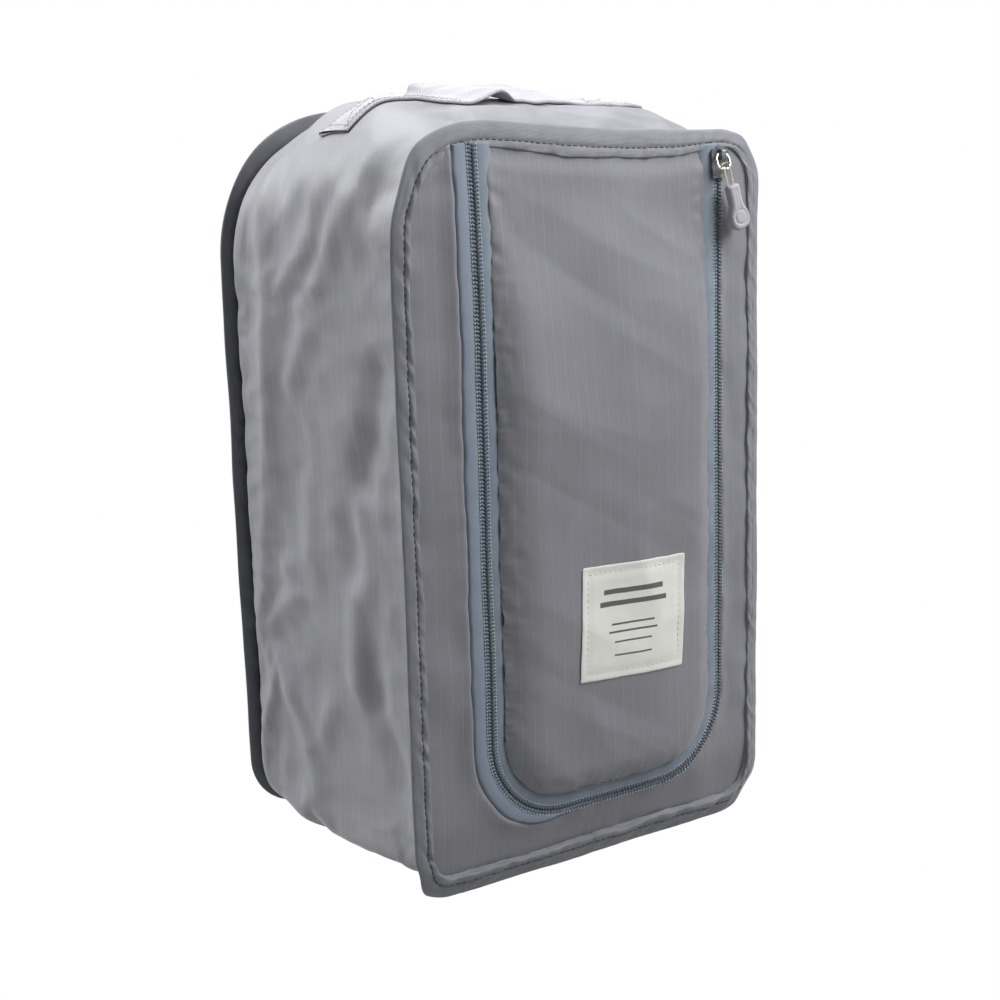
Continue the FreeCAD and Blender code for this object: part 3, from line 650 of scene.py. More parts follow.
def flapPuff(x, z):                  # the flap's own fullness above its edges
    x, z = np.broadcast_arrays(np.asarray(x, float), np.asarray(z, float))
    line = (path + pathIn * flapLine[:, None])[::3]
    away = np.full(x.shape, 1e9)
    for px, pz in line:
        away = np.minimum(away, np.hypot(x - px, z - pz))
    byLeft, elsewhere = front["slopes"]
    slope = elsewhere + (byLeft - elsewhere) * ease(20, -45, x) * ease(50, 90, z)
    full = 1 - (1 - np.clip(away / slope, 0, 1)) ** 2.2
    inner = 1 - np.exp(-away / 8)
    puff = flapShape["lift"] + front["rise"] * full * ease(308, 214, z)
    puff = puff + front["belly"] * inner * hill(z, 150, 90)
    tucks = drift(x * 0.9 + z, x - z, 6, 31) * np.exp(-away / 5)
    lean = math.radians(flapShape["lean"])
    for cx, cz, length, width, rise in flapShape["slants"]:
        dx, dz = x - cx, z - cz
        down = dx * math.cos(lean) + dz * math.sin(lean)
        across = dz * math.cos(lean) - dx * math.sin(lean)
        puff = puff + rise * hill(down, 0, length) * np.exp(-abs(across) / width) * inner
    puff = puff + crumple(x, z, 58, 33, 2) * flapShape["crumple"] * inner + tucks
    puff = puff - flapShape["edgeDrop"] * np.exp(-away / 0.6)
    flat = 0.3                       # how far it stands out at its head, where it is sewn flat
    puff = flat + (puff - flat) * (0.25 + 0.75 * ease(322, 296, z))
    return puff - flapShape["headDrop"] * ease(309, 317, z)


def makeFlap():
    line = path + pathIn * flapLine[:, None]
    low = line[:, 1].min()
    v = np.linspace(0, 1, flapShape["rows"])
    z = zipper["top"] - (zipper["top"] - low) * (1 - (1 - v) ** 1.12)     # rows close up towards the foot
    left, right = flapEdges(z)
    u = np.linspace(0, 1, flapShape["columns"])
    u = u - 0.055 * np.sin(2 * math.pi * u)
    x = left[:, None] + (right - left)[:, None] * u
    zz = z[:, None] + edgeWander(x, 37) * ease(low + 26, low, z)[:, None]
    points = pointsOnFront(x, zz, flapPuff(x, zz))
    thick = flapShape["fold"]
    piece = gridPiece("flap_cloth", points, finish["cloth"], pair(x, zz), flip=True, thick=thick)
    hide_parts("flap_panel", "flap_head")
    blendAtFold(piece)


def offsetLine(distance):            # the zip path moved towards the flap, or away from it below zero
    return path + pathIn * np.reshape(distance, (-1, 1))


def bandAlong(name, inner, outer, height, finishName, seed, columns=19, proud=0.0, groove=False):
    t = np.linspace(0, 1, columns)
    a, b = offsetLine(inner), offsetLine(outer)
    x, z = (a[:, k:k + 1] + (b - a)[:, k:k + 1] * t for k in (0, 1))
    width = np.linalg.norm(b - a, axis=1)[:, None]
    far = pathFar[:, None]
    lift = height * np.sin(math.pi * np.clip(t * 1.05, 0, 1)) ** 0.6 + drift(far, t * 3, 14, seed) * 0.12
    if groove:                       # the folded edge drops into the dark gap beside the front cloth
        dip = ease(width - 3.7, width - 3.1, width * t)
        lift = lift * (1 - dip) - 1.5 * dip
    points = pointsOnFront(x, z, proud + lift)
    flip = inner[0] < outer[0]
    return gridPiece(name, points, finish[finishName], pair(far, width * t), thick=0.5, flip=flip)


def blendAtFold(piece):              # the piece's placement is baked into its points
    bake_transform(piece)


def makeTapes():
    still = np.ones(len(path))
    outer = bandAlong("zip_tape_outer", -0.2 * still, -(surroundLine + 3.0), 1.5, "smoothTape", 41,
                      proud=-0.5, groove=True)
    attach(outer, "bag")
    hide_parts("zip_tape_surround")
    inner = bandAlong("zip_tape_inner", 0.2 * still, flapLine + 3.0, 1.3, "twillTape", 43, proud=-0.4)
    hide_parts("zip_tape_flap", "zip_tape_head_ends")
    blendAtFold(inner)


def makeChain():
    look = {"long": 2.5, "wide": 1.45, "high": 1.9, "slant": 28, "proud": 0.75, "pitch": 1.6, "sunk": 0.2}
    tooth, dot = bead(look["long"], look["wide"], look["high"]), bead(1.15, 0.8, 0.6, 6, 4)
    places = np.arange(0, pathFar[-1], look["pitch"])
    for name, side in (("outer", -1), ("inner", 1)):
        at = places + (look["pitch"] / 2 if side > 0 else 0)
        spot, inward = (np.stack([np.interp(at, pathFar, line[:, k]) for k in (0, 1)], 1)
                        for line in (path, pathIn))
        keep = ~((spot[:, 0] > 60) & (spot[:, 1] > 313))     # the slider covers the head of the right leg
        spot, inward = spot[keep], inward[keep]
        deep = look["proud"] - look["sunk"] * ease(-48, -8, spot[:, 0])
        middle, edge = (spot + inward * (side * out) for out in (1.2, 2.3))
        lean = math.radians(look["slant"]) * side
        c, s = math.cos(lean), math.sin(lean)
        flat = np.zeros(len(spot))
        across = np.stack([inward[:, 0] * c - inward[:, 1] * s, flat, inward[:, 0] * s + inward[:, 1] * c], 1)
        onward = np.stack([inward[:, 1], flat, -inward[:, 0]], 1)
        atCoil = pointsOnFront(middle[:, 0], middle[:, 1], deep)
        atThread = pointsOnFront(edge[:, 0], edge[:, 1], deep + 0.55)
        coil = scatter(f"zip_coil_{name}", tooth, atCoil, across, toViewer, finish["coil"])
        sewn = scatter(f"zip_stitch_{name}", dot, atThread, onward, toViewer, finish["chainThread"])
        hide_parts(*(("zip_coil_surround",) if side < 0 else ("zip_coil_flap", "zip_coil_head_ends")))
        for piece in (coil, sewn):
            if side < 0:
                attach(piece, "bag")
            else:
                blendAtFold(piece)


bindingShape = [    # out from the seam, towards the viewer, in mm: a folded band with a sewn groove
    (-0.2, 0.75), (-0.35, 1.3), (0.1, 1.7), (1.2, 1.85), (2.5, 1.85), (3.3, 1.5), (3.8, 0.95), (4.3, 1.3),
    (5.2, 1.65), (7.2, 1.6), (9.4, 1.3), (11.0, 0.9), (11.8, 0.4), (12.0, -0.2), (11.4, -0.9), (9.4, -1.4),
    (7.2, -1.6), (5.2, -1.55), (4.3, -1.2), (3.8, -0.9), (3.3, -1.3), (2.5, -1.55), (1.2, -1.65),
    (0.2, -1.5), (-0.2, -1.0), (0.0, -0.5)]


def makeBinding(name, node, corners, seamY, seed, finishName):
    look = {
        "edgeWave": 0.8, "pucker": 0.42, "lapAt": -72, "lapRise": 0.5, "rear": name.startswith("back"),
        "narrowed": 0.3, "drawnIn": 2.0,             # the front seam on its left side
        "turned": (26, 24, 10),                      # degrees it turns back on the right, foot and top
        "stitch": (2.2, 0.6, 0.5, 6, 5), "gap": 3.1,     # length, width and height, then its facets
    }
    seam, normals, far = seamLine(corners)
    shape = np.array(bindingShape)
    d, h = shape[:, 0][None, :], shape[:, 1][None, :]
    s = far[:-1, None]
    inward = np.exp(-np.clip(d, 0, 99) / 2.2)
    wide = d - edgeWander(s, seed, 0.35, look["edgeWave"]) * inward
    wide = wide + drift(s, 3, 40, seed + 2) * 0.6 * (d / 12)
    # the stitching gathers the tape into short slanted puckers
    gathered = look["pucker"] * (0.3 + hill(d, 2, 2.4) + 0.6 * hill(d, 5.6, 2.4))
    slanted = drift(s + d * 0.9, d * 0.1, 4.2, seed + 3) * gathered
    height = h * (1 + slanted) + np.sign(h) * drift(s + d, d * 0.1, 24, seed + 4) * 0.25
    if not look["rear"]:             # the front seam lies narrow on the left and turns back elsewhere
        toSide, toTop = normals[:, :1], normals[:, 1:]
        narrow = ease(-0.5, -0.95, toSide)
        wide = wide * (1 - look["narrowed"] * narrow) - look["drawnIn"] * narrow
        right, foot, head = look["turned"]
        turned = np.radians(right * ease(0.4, 0.95, toSide) + foot * ease(-0.3, -0.95, toTop)
                            + head * ease(0.3, 0.95, toTop))
        wide, height = (wide * np.cos(turned) + height * np.sin(turned),
                        height * np.cos(turned) - wide * np.sin(turned))
    x = seam[:, :1] + normals[:, :1] * wide
    z = seam[:, 1:] + normals[:, 1:] * wide
    if not look["rear"]:             # at the foot the tape's end laps over its beginning
        low = (z < 40) & (seam[:, 1:] < 13)
        lap = ease(look["lapAt"] - 0.6, look["lapAt"] + 0.6, x + (z - 6) * 0.45) * ease(-45, -66, x)
        height = height + np.where(low, lap * look["lapRise"] * np.sign(h), 0)
    points = np.stack(settle(x, seamY - height, z), -1)
    ring = np.vstack([shape, shape[:1]])
    girth = np.concatenate([[0], np.cumsum(np.linalg.norm(np.diff(ring, axis=0), axis=1))])
    uv = pair(girth[None, :], far[:, None])
    piece = gridPiece(name, points, finish[finishName], uv, loop=True, wrap=True, flip=True)
    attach(piece, "bag")
    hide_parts(node)
    for face, column, toward in (("fore", 6, -1.0), ("aft", 19, 1.0)):     # the groove on either face
        line = np.vstack([points[:, column], points[:1, column]]) + np.array([0, toward * 0.35, 0])
        row = sew(f"{name}_stitches_{face}", [line], look, (0, toward, 0), "greyThread")
        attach(row, "bag")


side = {
    "columns": 48,
    "swellSide": 8.6,     # how far the filled sides, top and foot leave the straight line, in mm
    "crown": 28.0,
    "sag": 8.0,
    "footBulge": 4,
    "creases": 1.25,      # share of the placed creases' heights, on the left and on the top
    "topCreases": 1.2,
    "crumple": (1.9, 0.7),       # large and small facets
    "gather": 0.7,        # puckers beside both seams
    "spare": 0.007,       # how much longer the cloth is than the way it has to go
    "frames": 24,
    "reach": 2.5,         # how far the simulation may move a point
}


def drape(points, pinned):           # cloth simulation: a band cut too large buckles between its seams
    rows, columns = points.shape[:2]
    trial = gridPiece("trial", points, finish["cloth"], np.zeros((rows + 1, columns, 2)), loop=True, level=0)
    group = trial.vertex_groups.new(name="sewn")
    group.add([i * columns + j for i in range(rows) for j in pinned], 1.0, "REPLACE")
    cloth = trial.modifiers.new("Cloth", "CLOTH")
    how = cloth.settings
    how.quality, how.mass, how.bending_model = 6, 0.12, "ANGULAR"
    how.tension_stiffness = how.compression_stiffness = 25
    how.shear_stiffness, how.bending_stiffness = 10, 0.08
    how.vertex_group_mass = "sewn"
    how.shrink_min = -side["spare"]
    how.use_pressure, how.uniform_pressure_force = True, 0.6
    how.effector_weights.gravity = 0
    cloth.collision_settings.use_collision = False
    cloth.point_cache.frame_start, cloth.point_cache.frame_end = 1, side["frames"]
    for number in range(1, side["frames"] + 1):
        bpy.context.scene.frame_set(number)
    held = trial.evaluated_get(bpy.context.evaluated_depsgraph_get()).to_mesh()
    moved = np.zeros(rows * columns * 3, np.float32)
    held.vertices.foreach_get("co", moved)
    bpy.context.scene.frame_set(1)
    spent = trial.data
    bpy.data.objects.remove(trial)
    bpy.data.meshes.remove(spent)
    change = moved.reshape(points.shape) / mm - points
    far = np.linalg.norm(change, axis=-1, keepdims=True)
    return points + change * (side["reach"] * np.tanh(far / side["reach"]) / np.maximum(far, 1e-6))


# creases on the left side: y and z of both ends, width of the facets beside them, height in mm
leftFolds = [
    (48, 303, 44, 279, 15, 3.0), (44, 279, 39, 264, 16, 3.6), (39, 264, 46, 214, 18, 4.0),
    (46, 214, 52, 171, 18, 3.6), (52, 171, 60, 110, 15, 2.6), (0, 293, 2, 283, 11, 2.0),
    (2, 283, 34, 256, 12, 2.8), (-7, 276, 2, 261, 10, 2.2), (-17, 310, -9, 301, 10, 2.2),
    (-35, 315, -32, 298, 11, 2.4), (-32, 298, -8, 277, 12, 2.6), (-33, 294, -58, 305, 12, -2.0),
    (14, 251, 9, 243, 10, 1.8), (9, 243, 26, 219, 11, 2.0), (-41, 229, -37, 204, 13, -2.8),
    (-37, 204, -27, 185, 13, -3.0), (-13, 161, -19, 142, 12, -2.8), (-22, 136, -19, 90, 14, 2.4),
    (-26, 118, -33, 81, 12, -2.8), (-33, 81, -50, 54, 12, -2.6), (48, 85, 25, 48, 13, 3.0),
    (25, 48, 20, 28, 12, 2.4), (28, 70, 14, 55, 9, 1.6), (14, 55, 6, 73, 9, 1.6),
    (48, 85, 66, 45, 12, 2.6), (66, 45, 63, 10, 11, 2.2), (18, 171, 16, 141, 12, 2.0),
    (36, 132, 30, 120, 10, 1.8), (30, 120, 52, 104, 11, 2.0), (59, 8, 23, 25, 10, 1.8),
    (23, 25, 6, 16, 10, 1.6), (6, 16, -27, 13, 10, 1.8)]
# the same on the top: y and x of both ends
topFolds = [
    (-50, -86, -10, -60, 12, 2.0), (-44, -40, -58, 4, 12, -1.6), (-30, 20, -52, 62, 13, 1.8),
    (30, -70, 50, -30, 13, 2.0), (40, 0, 26, 50, 13, -1.8), (52, 40, 30, 84, 12, 1.8)]


def creased(p, q, folds):            # facets that meet on a line; the highest and the deepest count
    up, down = np.zeros(np.shape(p)), np.zeros(np.shape(p))
    for p0, q0, p1, q1, width, rise in folds:
        dp, dq = p1 - p0, q1 - q0
        t = np.clip(((p - p0) * dp + (q - q0) * dq) / (dp * dp + dq * dq), 0, 1)
        away = np.sqrt((p - p0 - dp * t) ** 2 + (q - q0 - dq * t) ** 2 + 0.3)
        height = rise * np.clip(1 - away / width, 0, 1) ** 1.15
        up, down = np.maximum(up, height), np.minimum(down, height)
    return up + down


def crumple(a, b, size, seed, layers=3):     # facets that meet on ridges, as in crumpled coated cloth
    total = 0
    for layer in range(layers):
        turn, share = math.radians(35 + 47 * layer + seed * 13), 0.62 ** layer
        c, s = math.cos(turn), math.sin(turn)
        p, q = a * c - b * s, a * s + b * c
        total = total + (0.5 - 2 * abs(drift(p, q * 0.62, size * share, seed + layer))) * share
    return total


def makeGusset():
    fore, foreOut, foreFar = seamLine(bag["frontCorners"])
    aft, aftOut = seamLine(bag["backCorners"])[:2]
    fore, foreOut, aft, aftOut = fore[::2], foreOut[::2], aft[::2], aftOut[::2]
    s = foreFar[:-1:2, None]
    v = np.linspace(0, 1, side["columns"])[None, :]
    v = v - 0.09 * np.sin(2 * math.pi * v)       # columns close up towards the seams
    base = fore[:, None] * (1 - v[..., None]) + aft[:, None] * v[..., None]
    out = foreOut[:, None] * (1 - v[..., None]) + aftOut[:, None] * v[..., None]
    out = out / np.linalg.norm(out, axis=2)[..., None]
    y = frontSeamY + 2.2 + (backSeamY - frontSeamY - 4.4) * v + 0 * base[..., 0]
    top, bottom, sides = out[..., 1].clip(0), (-out[..., 1]).clip(0), abs(out[..., 0])
    flank = (1 - (1 - v) ** 1.5) * (1 - v ** 60)
    bow = (1 - (1 - v) ** 3) * (1 - v ** 2.6)
    dome = 1 - 0.25 * ease(50, 88, abs(base[..., 0] - 5))
    rise = side["crown"] * top ** 2 * dome + side["footBulge"] * sides * bottom
    full = flank * side["swellSide"] * sides + bow * rise
    hang = np.sin(math.pi * v) ** 0.5 * side["sag"] * bottom ** 2
    fixed = (1 - np.exp(-v * 14) - np.exp(-(1 - v) * 22)).clip(0)
    left = ease(-0.4, -0.9, out[..., 0])
    folds = left * creased(y, base[..., 1], leftFolds) * side["creases"]
    folds = folds + ease(0.5, 0.9, out[..., 1]) * creased(y, base[..., 0], topFolds) * side["topCreases"]
    large, small = side["crumple"]
    rough = crumple(s, y, 58, 51, 2) * large * (1 - 0.7 * left) + crumple(s, y, 22, 61, 2) * small
    gathers = (drift(s, v * 3, 6.5, 57) * np.exp(-v * 12)
               + drift(s, v * 3, 7.0, 59) * np.exp(-(1 - v) * 12)) * side["gather"]
    flat = base + out * (full + hang + fixed * (folds + rough) + gathers)[..., None]
    flat[:, 0], flat[:, -1] = fore, aft
    points = np.stack([flat[..., 0], y, flat[..., 1]], -1)
    points = drape(points, (0, side["columns"] - 1))
    points[..., 2] = np.maximum(points[..., 2], 1.4)
    points = np.stack(settle(points[..., 0], points[..., 1], points[..., 2]), -1)
    uv = pair(v * 144, foreFar[::2, None])
    piece = gridPiece("gusset_cloth", points, finish["cloth"], uv, loop=True, thick=0.4, level=2)
    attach(piece, "bag")
    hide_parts("gusset", "gusset_front_hem", "gusset_back_hem")
    return piece


def makeBack():
    look = {"rows": 130, "columns": 76, "belly": 4.0, "inset": 6, "crumple": 2.4, "slack": 0.6}
    inset = look["inset"]
    u, v = np.linspace(0, 1, look["columns"])[None, :], np.linspace(-1, 1, look["rows"])[:, None]
    z = tall / 2 + np.sin(v * math.pi / 2) * (tall / 2 - inset)     # rows close up where the corners turn
    left, right = spanAt(z, bag["backCorners"], inset)
    x = left + (right - left) * u
    across, up = x / (halfWide - inset), (z - tall / 2) / (tall / 2 - inset)
    inner = np.minimum(np.minimum(u, 1 - u) * (right - left), np.minimum(z - inset, tall - inset - z))
    belly = look["belly"] * (1 - across ** 2).clip(0) * (1 - up ** 2)
    belly = belly + crumple(x, z, 60, 71) * look["crumple"] + drift(x + z, z, 18, 63) * look["slack"]
    flatEdge = ease(5, 17, inner)    # flat where the binding grips it
    points = np.stack(settle(x, backY - 0.2 + flatEdge * belly, z), -1)
    piece = gridPiece("back_cloth", points, finish["cloth"], pair(x, z), thick=0.5)
    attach(piece, "bag")
    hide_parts("back_panel")


labelLook = {
    "wide": 57.0, "high": 52.0, "thick": 0.45, "cells": 34, "tilt": -3.0,
    "shift": (-6, 1.5),                              # the filling draws it over
    "sewnIn": 3.4, "stitch": (1.9, 0.8, 0.8, 6, 5), "gap": 2.7,
}


def makeLabel():
    cx = (labelLow[0] + labelHigh[0]) / 2 + labelLook["shift"][0]
    cz = (labelLow[2] + labelHigh[2]) / 2 + labelLook["shift"][1]
    wide, high, tilt = labelLook["wide"], labelLook["high"], math.radians(labelLook["tilt"])

    def spot(p, q, proud):           # p and q from -1 to 1 over the label
        right, above = p * wide / 2, q * high / 2
        x = cx + right * math.cos(tilt) - above * math.sin(tilt)
        z = cz + right * math.sin(tilt) + above * math.cos(tilt)
        return pointsOnFront(x, z, flapPuff(x, z) + proud)

    p, q = np.meshgrid(np.linspace(-1, 1, labelLook["cells"]), np.linspace(1, -1, labelLook["cells"]))
    frayed = drift(p * 20, q * 20, 5, 71) * 0.008
    edge = np.maximum(abs(p), abs(q))
    proud = 0.75 - 0.35 * hill(edge, 0.87, 0.05) + drift(p * 28, q * 26, 9, 73) * 0.15
    points, uv = spot(p * (1 + frayed), q * (1 + frayed), proud), pair(p * wide / 2, q * high / 2)
    piece = gridPiece("label_patch", points, finish["label"], uv, thick=labelLook["thick"], flip=True)
    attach(piece, "flap")
    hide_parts("label")
    inX, inZ = (1 - 2 * labelLook["sewnIn"] / size for size in (wide, high))
    corners = [(-inX, inZ), (inX, inZ), (inX, -inZ), (-inX, -inZ), (-inX, inZ)]
    t = np.linspace(0, 1, 60)
    for number, (a, b) in enumerate(zip(corners, corners[1:])):
        line = spot(a[0] + (b[0] - a[0]) * t, a[1] + (b[1] - a[1]) * t, np.full(len(t), 0.72))
        row = sew(f"label_stitches_{number}", [line], labelLook, toViewer, "paleThread")
        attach(row, "flap")


handle = {
    "thick": 1.7, "wide": 25, "rows": 260, "columns": 15,
    "stitch": (1.7, 0.45, 0.4, 6, 4), "gap": 2.4,
    # near and far edge of the webbing: x and z
    "near": [(-78, 319.5), (-75, 321), (-66, 327), (-56, 330.5), (-41, 334.5), (-24, 336), (-10, 340),
             (0, 343), (6, 339), (10, 335), (16, 336), (23, 336.2), (29, 335), (36, 335), (42, 333.5),
             (48, 331), (65, 327), (77, 319.5)],
    "far": [(-78, 320.5), (-70, 327), (-58, 335), (-45, 338), (-38, 339.5), (-34, 343), (-31, 346.5),
            (-18, 345.5), (-6, 344.5), (7, 344.5), (16, 344), (22, 343), (37, 339.5), (46, 337), (54, 335),
            (60, 333), (65, 331), (77, 321)],
}


def smoothCurve(places, values, at):     # a soft curve through given values
    values = np.asarray(values, float)
    slopes = np.gradient(values, places)
    k = np.clip(np.searchsorted(places, at) - 1, 0, len(places) - 2)
    h = places[k + 1] - places[k]
    t = (at - places[k]) / h
    return ((2 * t ** 3 - 3 * t ** 2 + 1) * values[k] + (t ** 3 - 2 * t ** 2 + t) * h * slopes[k]
            + (-2 * t ** 3 + 3 * t ** 2) * values[k + 1] + (t ** 3 - t ** 2) * h * slopes[k + 1])


def makeHandle(under):
    rows, columns = handle["rows"], handle["columns"]
    t, place = np.linspace(0, 1, rows), np.linspace(0, 1, len(handle["near"]))
    near, far = (np.array([smoothCurve(place, [p[k] for p in handle[edge]], t) for k in (0, 1)]).T
                 for edge in ("near", "far"))
    across = np.linspace(0, 1, columns)[None, :]
    x, z = (near[:, None, k] * (1 - across) + far[:, None, k] * across for k in (0, 1))
    y = strapLow[1] + (strapHigh[1] - strapLow[1]) * across + drift(t * 150, 0, 40, 81)[:, None] * 0.8
    z = z + drift(x, y, 9, 83) * 0.25
    below = BVHTree.FromObject(under, bpy.context.evaluated_depsgraph_get())
    for i in range(rows):            # sewn down on the cloth at its left end, never inside it
        for j in range(columns):
            hit = below.ray_cast(Vector((x[i, j], y[i, j], 420)) * mm, Vector((0, 0, -1)))[0]
            if hit:
                floor = hit.z / mm + 1.25
                z[i, j] = floor if x[i, j] < -56 else max(z[i, j], floor)
    for _ in range(6):
        z[1:-1] = (z[:-2] + z[1:-1] * 2 + z[2:]) / 4
    thin = handle["thick"] / 2
    top, low = np.stack([x, y, z + thin], -1), np.stack([x, y, z - thin], -1)[:, ::-1]
    bulge = np.array([0, 0.4, 0])
    edges = [(top[:, -1] + low[:, 0]) / 2 + bulge, (top[:, 0] + low[:, -1]) / 2 - bulge]
    points = np.concatenate([top, edges[0][:, None], low, edges[1][:, None]], 1)
    caps = []
    for end, sign in ((points[0], -1), (points[-1], 1)):      # both cut ends close to a blunt edge
        centre = end.mean(0)
        last = (end + centre) / 2 + np.array([sign * 0.7, 0, 0])
        last[:, 1] = end[:, 1] * 0.96 + centre[1] * 0.04
        caps.append([end + np.array([sign * 0.5, 0, 0]), last])
    points = np.concatenate([np.array(caps[0][::-1]), points, np.array(caps[1])], 0)
    far = np.concatenate([[-1.5, -0.8], t * 175, [175.8, 176.5]])
    wide = handle["wide"]
    girth = np.concatenate([np.linspace(0, wide, columns), [wide + 1],
                            np.linspace(wide + 2, wide * 2 + 2, columns), [wide * 2 + 3, wide * 2 + 4]])
    uv = pair(far[:, None], girth[None, :])
    piece = gridPiece("handle_webbing", points, finish["webbing"], uv, wrap=True, flip=True)
    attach(piece, "bag")
    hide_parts("handle_strap")
    # two dark rows of stitches along the near edge, and a sewn box on each end
    rowsOf = [(x[:, 1], y[:, 1], z[:, 1]), (x[:, 2], y[:, 2] + 0.6, z[:, 2])]
    sewn = [np.stack(row, -1)[:int(rows * 0.32)] for row in rowsOf]
    for low, high in ((6, 36), (rows - 36, rows - 6)):
        box = [(low, 1), (high, 1), (high, columns - 2), (low, columns - 2), (low, 1), (high, columns - 2)]
        for (i0, j0), (i1, j1) in zip(box, box[1:]):
            i, j = np.linspace(i0, i1, 24).astype(int), np.linspace(j0, j1, 24).astype(int)
            sewn.append(np.stack([x[i, j], y[i, j], z[i, j]], -1))
    lifted = [line + np.array([0, 0, thin + 0.05]) for line in sewn]
    row = sew("handle_stitches", lifted, handle, (0, 0, 1), "webThread")
    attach(row, "bag")


def makeDivider():
    look = {"rows": 60, "columns": 50, "belly": 2.5, "slack": 2, "sewnIn": 2, "foot": 3, "ruffle": 0.175}
    u, v = np.linspace(-1, 1, look["columns"])[None, :], np.linspace(0, 1, look["rows"])[:, None]
    w = (netHigh[0] - netLow[0]) / 2 - look["sewnIn"]
    h = netHigh[2] - netLow[2] - look["foot"]
    x, z = u * w + 0 * v, netLow[2] + look["foot"] + h * v + 0 * u
    loose = look["belly"] + drift(x, z, 40, 91) * look["slack"]
    y = (netLow[1] + netHigh[1]) / 2 + (1 - u ** 2) * (1 - (2 * v - 1) ** 2) * loose
    net = gridPiece("divider_net", np.stack([x, y, z], -1), finish["net"], pair(x, z), thick=0.35)
    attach(net, "bag")
    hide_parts("divider_mesh")
    # a gathered elastic rim along the top of the net: its section, across and up
    rim = np.array([(-1.3, 0), (-1.0, 4.5), (-0.9, 9), (0, 10.2), (0.9, 9), (1.0, 4.5), (1.3, 0),
                    (0.9, -0.9), (-0.9, -0.9)])
    t = np.linspace(-1, 1, 160)[:, None]
    x = t * w + 0 * rim[None, :, 0]
    z = elasticLow[2] + 1.2 + rim[None, :, 1] + drift(x, 0, 12, 93) * 0.4
    y = (elasticLow[1] + elasticHigh[1]) / 2 + rim[None, :, 0] * (1 + look["ruffle"] * np.sin(t * 150))
    uv = pair(t * w, np.linspace(0, 24, len(rim) + 1)[None, :])
    band = gridPiece("divider_rim", np.stack([x, y, z], -1), finish["elastic"], uv, wrap=True)
    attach(band, "bag")
    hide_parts("divider_elastic")
    2 * w * mm
    h * mm


def dressMetal():
    lacquered, pale = ("slider_body", "slider_bridge"), ("pull_ring", "pull_link")
    for node in lacquered + pale:
        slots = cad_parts[node].data.materials
        slots.clear()
        slots.append(finish["darkMetal" if node in lacquered else "metal"])


pull = {
    "long": 21.0, "thick": 4.6, "lean": -16.0,
    "neck": 3.1, "round": 5.1,                       # half widths
    "groove": 0.45, "ringAt": 6.2, "ringRadius": 3.2, "stemAt": 14.0, "stemHalf": 3.4,
    "rings": 64, "spokes": 56,
}


def makePull():                      # a soft moulded tab: a narrow neck, a round end, a plain groove
    t = np.linspace(0, 1, pull["rings"])
    turn = np.linspace(0, 2 * math.pi, pull["spokes"], endpoint=False)
    depth = (1 - np.cos(t * math.pi)) / 2 * pull["long"]           # from the neck's top down
    up = pull["long"] - depth
    head = (1 - (1 - depth / 1.1).clip(0) ** 2) ** 0.5             # both ends close round
    foot, footThin = (np.sqrt(np.clip(1 - ((size - up) / size).clip(0) ** power, 0, 1))
                      for size, power in ((pull["round"], 2.2), (2.2, 2)))
    half = (pull["neck"] + (pull["round"] - pull["neck"]) * ease(12.5, 6.5, up)) * foot * head
    plump = pull["thick"] / 2 * footThin * head
    c, s = np.cos(turn)[None, :], np.sin(turn)[None, :]
    across = half[:, None] * np.sign(c) * abs(c) ** 0.62
    out = plump[:, None] * np.sign(s) * abs(s) ** 0.55
    above = up[:, None]
    ring = np.hypot(across, above - pull["ringAt"]) - pull["ringRadius"]
    stem = np.hypot(across * 1.6, np.clip(abs(above - pull["stemAt"]) - pull["stemHalf"], 0, 99)) - 1.5
    cut = np.exp(-(ring / 0.38) ** 2) + np.exp(-(stem / 0.3) ** 2) * 0.7
    out = out - np.sign(out) * pull["groove"] * cut * (abs(s) > 0.4)
    lean = math.radians(pull["lean"])
    reach = above - pull["long"] / 2
    x = (pullLow[0] + pullHigh[0]) / 2 + across * math.cos(lean) + reach * math.sin(lean)
    z = (pullLow[2] + pullHigh[2]) / 2 - across * math.sin(lean) + reach * math.cos(lean)
    y = (pullLow[1] + pullHigh[1]) / 2 + out
    uv = pair(np.linspace(0, 26, pull["spokes"] + 1)[None, :], depth[:, None])
    piece = gridPiece("pull_grip", np.stack([x, y, z], -1), finish["rubber"], uv, wrap=True)
    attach(piece, "pull")
    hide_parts("pull_tab")


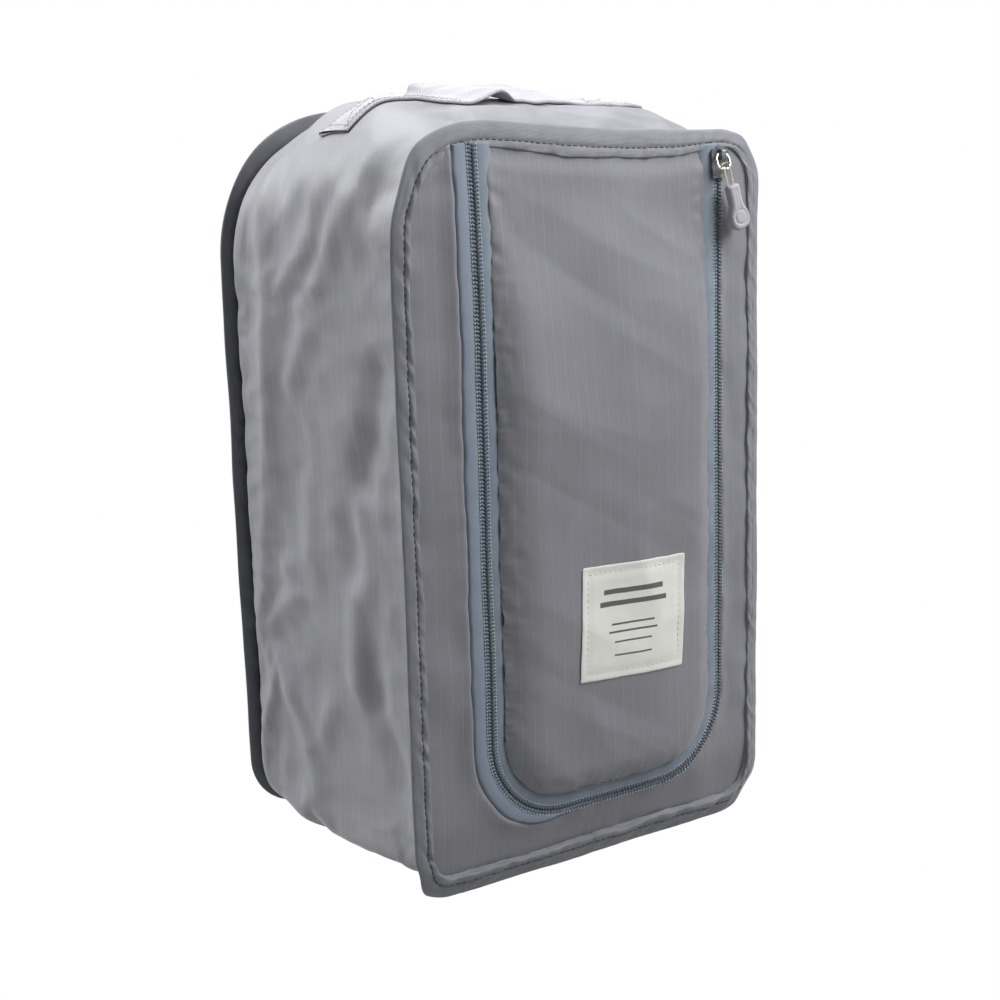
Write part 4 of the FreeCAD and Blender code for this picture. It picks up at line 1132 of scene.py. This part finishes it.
def makeStudio():
    look = {
        "floor": 0.15, "world": 0.25,
        "lamps": {                   # place, what it points at, size in metres, watts
            "key": ((-0.85, 0.8, 0.95), (0, 0, 0.2), 0.5, 19.0),
            "side": ((0.45, -0.5, 0.8), (0, -0.02, 0.25), 0.5, 8.5),
            "top": ((-0.05, 0.4, 1.25), (0, 0.02, 0.3), 0.5, 13.0),
            "fill": ((0.3, -1.7, 0.7), (0, 0, 0.15), 1.0, 1.5),
        },
    }
    # to the camera and in reflections the floor is plain white
    made = Finish("paleFloor", Roughness=0.9)
    made.set(Base_Color=(look["floor"],) * 3)
    rays = [made.node("LightPath", None, None, f"Is {kind} Ray") for kind in ("Camera", "Glossy")]
    seen = made.node("Math", {"operation": "MINIMUM"}, {"Value": rays[0] + rays[1], "Value_001": 1.0})
    glow = made.node("Emission", None, {"Color": (1.0, 1.0, 1.0, 1), "Strength": 1.0})
    shaded = Wire(made.tree, made.shader.outputs[0])
    mixed = made.node("MixShader", None, {"Fac": seen, "Shader": shaded, "Shader_001": glow})
    made.tree.links.new(mixed.socket, made.tree.nodes["Material Output"].inputs[0])
    sheet = bmesh.new()
    bmesh.ops.create_grid(sheet, x_segments=2, y_segments=2, size=6)
    mesh = bpy.data.meshes.new("studio_floor")
    sheet.to_mesh(mesh)
    sheet.free()
    floor = addObject("studio_floor", mesh)
    floor.location.z = -0.0005
    mesh.materials.append(made.material)

    world = bpy.data.worlds.new("studio")
    bpy.context.scene.world = world
    world.use_nodes = True
    tree = world.node_tree
    light = tree.nodes.new("ShaderNodeLightPath")
    background, output = tree.nodes["Background"], tree.nodes["World Output"]
    background.inputs[0].default_value = (0.93, 0.95, 1.0, 1)
    background.inputs[1].default_value = look["world"]
    white = tree.nodes.new("ShaderNodeBackground")
    white.inputs[0].default_value = (1, 1, 1, 1)
    either = tree.nodes.new("ShaderNodeMixShader")
    tree.links.new(light.outputs["Is Camera Ray"], either.inputs[0])
    tree.links.new(background.outputs[0], either.inputs[1])
    tree.links.new(white.outputs[0], either.inputs[2])
    tree.links.new(either.outputs[0], output.inputs[0])

    for name, (place, aim, size, power) in look["lamps"].items():
        data = bpy.data.lights.new(name, "AREA")
        data.size, data.energy = size, power
        lamp = addObject(name, data)
        lamp.location = place
        lamp.rotation_euler = (Vector(aim) - Vector(place)).to_track_quat("-Z", "Y").to_euler()


def makeCamera():
    view = {
        "place": (-0.4816046, -0.7316997, 0.3746239),
        "turn": -0.580107364, "tilt": 0.244598247, "roll": -0.0289232953,      # radians
        "lens": 69.698, "sensor": 36,
    }
    a, e, r = view["turn"], view["tilt"], view["roll"]
    back = Vector((math.sin(a) * math.cos(e), -math.cos(a) * math.cos(e), math.sin(e)))
    right = (-back).cross(Vector((0, 0, 1))).normalized()
    up = right.cross(-back)
    across, above = right * math.cos(r) + up * math.sin(r), up * math.cos(r) - right * math.sin(r)
    data = bpy.data.cameras.new("camera")
    data.lens, data.sensor_width = view["lens"], view["sensor"]
    camera = addObject("camera", data)
    axes = Matrix((across, above, back)).transposed()
    camera.matrix_world = Matrix.Translation(view["place"]) @ axes.to_4x4()
    bpy.context.scene.camera = camera


makeCamera()
makeStudio()
bpy.context.scene.view_settings.view_transform = "Standard"
print("camera and studio ready")
gusset = makeGusset()
print("gusset done")
makeBack()
makeSurround()
makeFlap()
print("cloth panels done")
makeBinding("front_binding_band", "front_binding", bag["frontCorners"], frontSeamY, 101, "binding")
# the back band takes the darker copy of the binding tape, which is painted shade
makeBinding("back_binding_band", "back_binding", bag["backCorners"], backSeamY, 131, "bindingInPaintedShade")
print("bindings sewn")
makeTapes()
makeChain()
print("zip done")
makeLabel()
makeHandle(gusset)
makeDivider()
dressMetal()
makePull()
print("label, handle, divider and metal done")
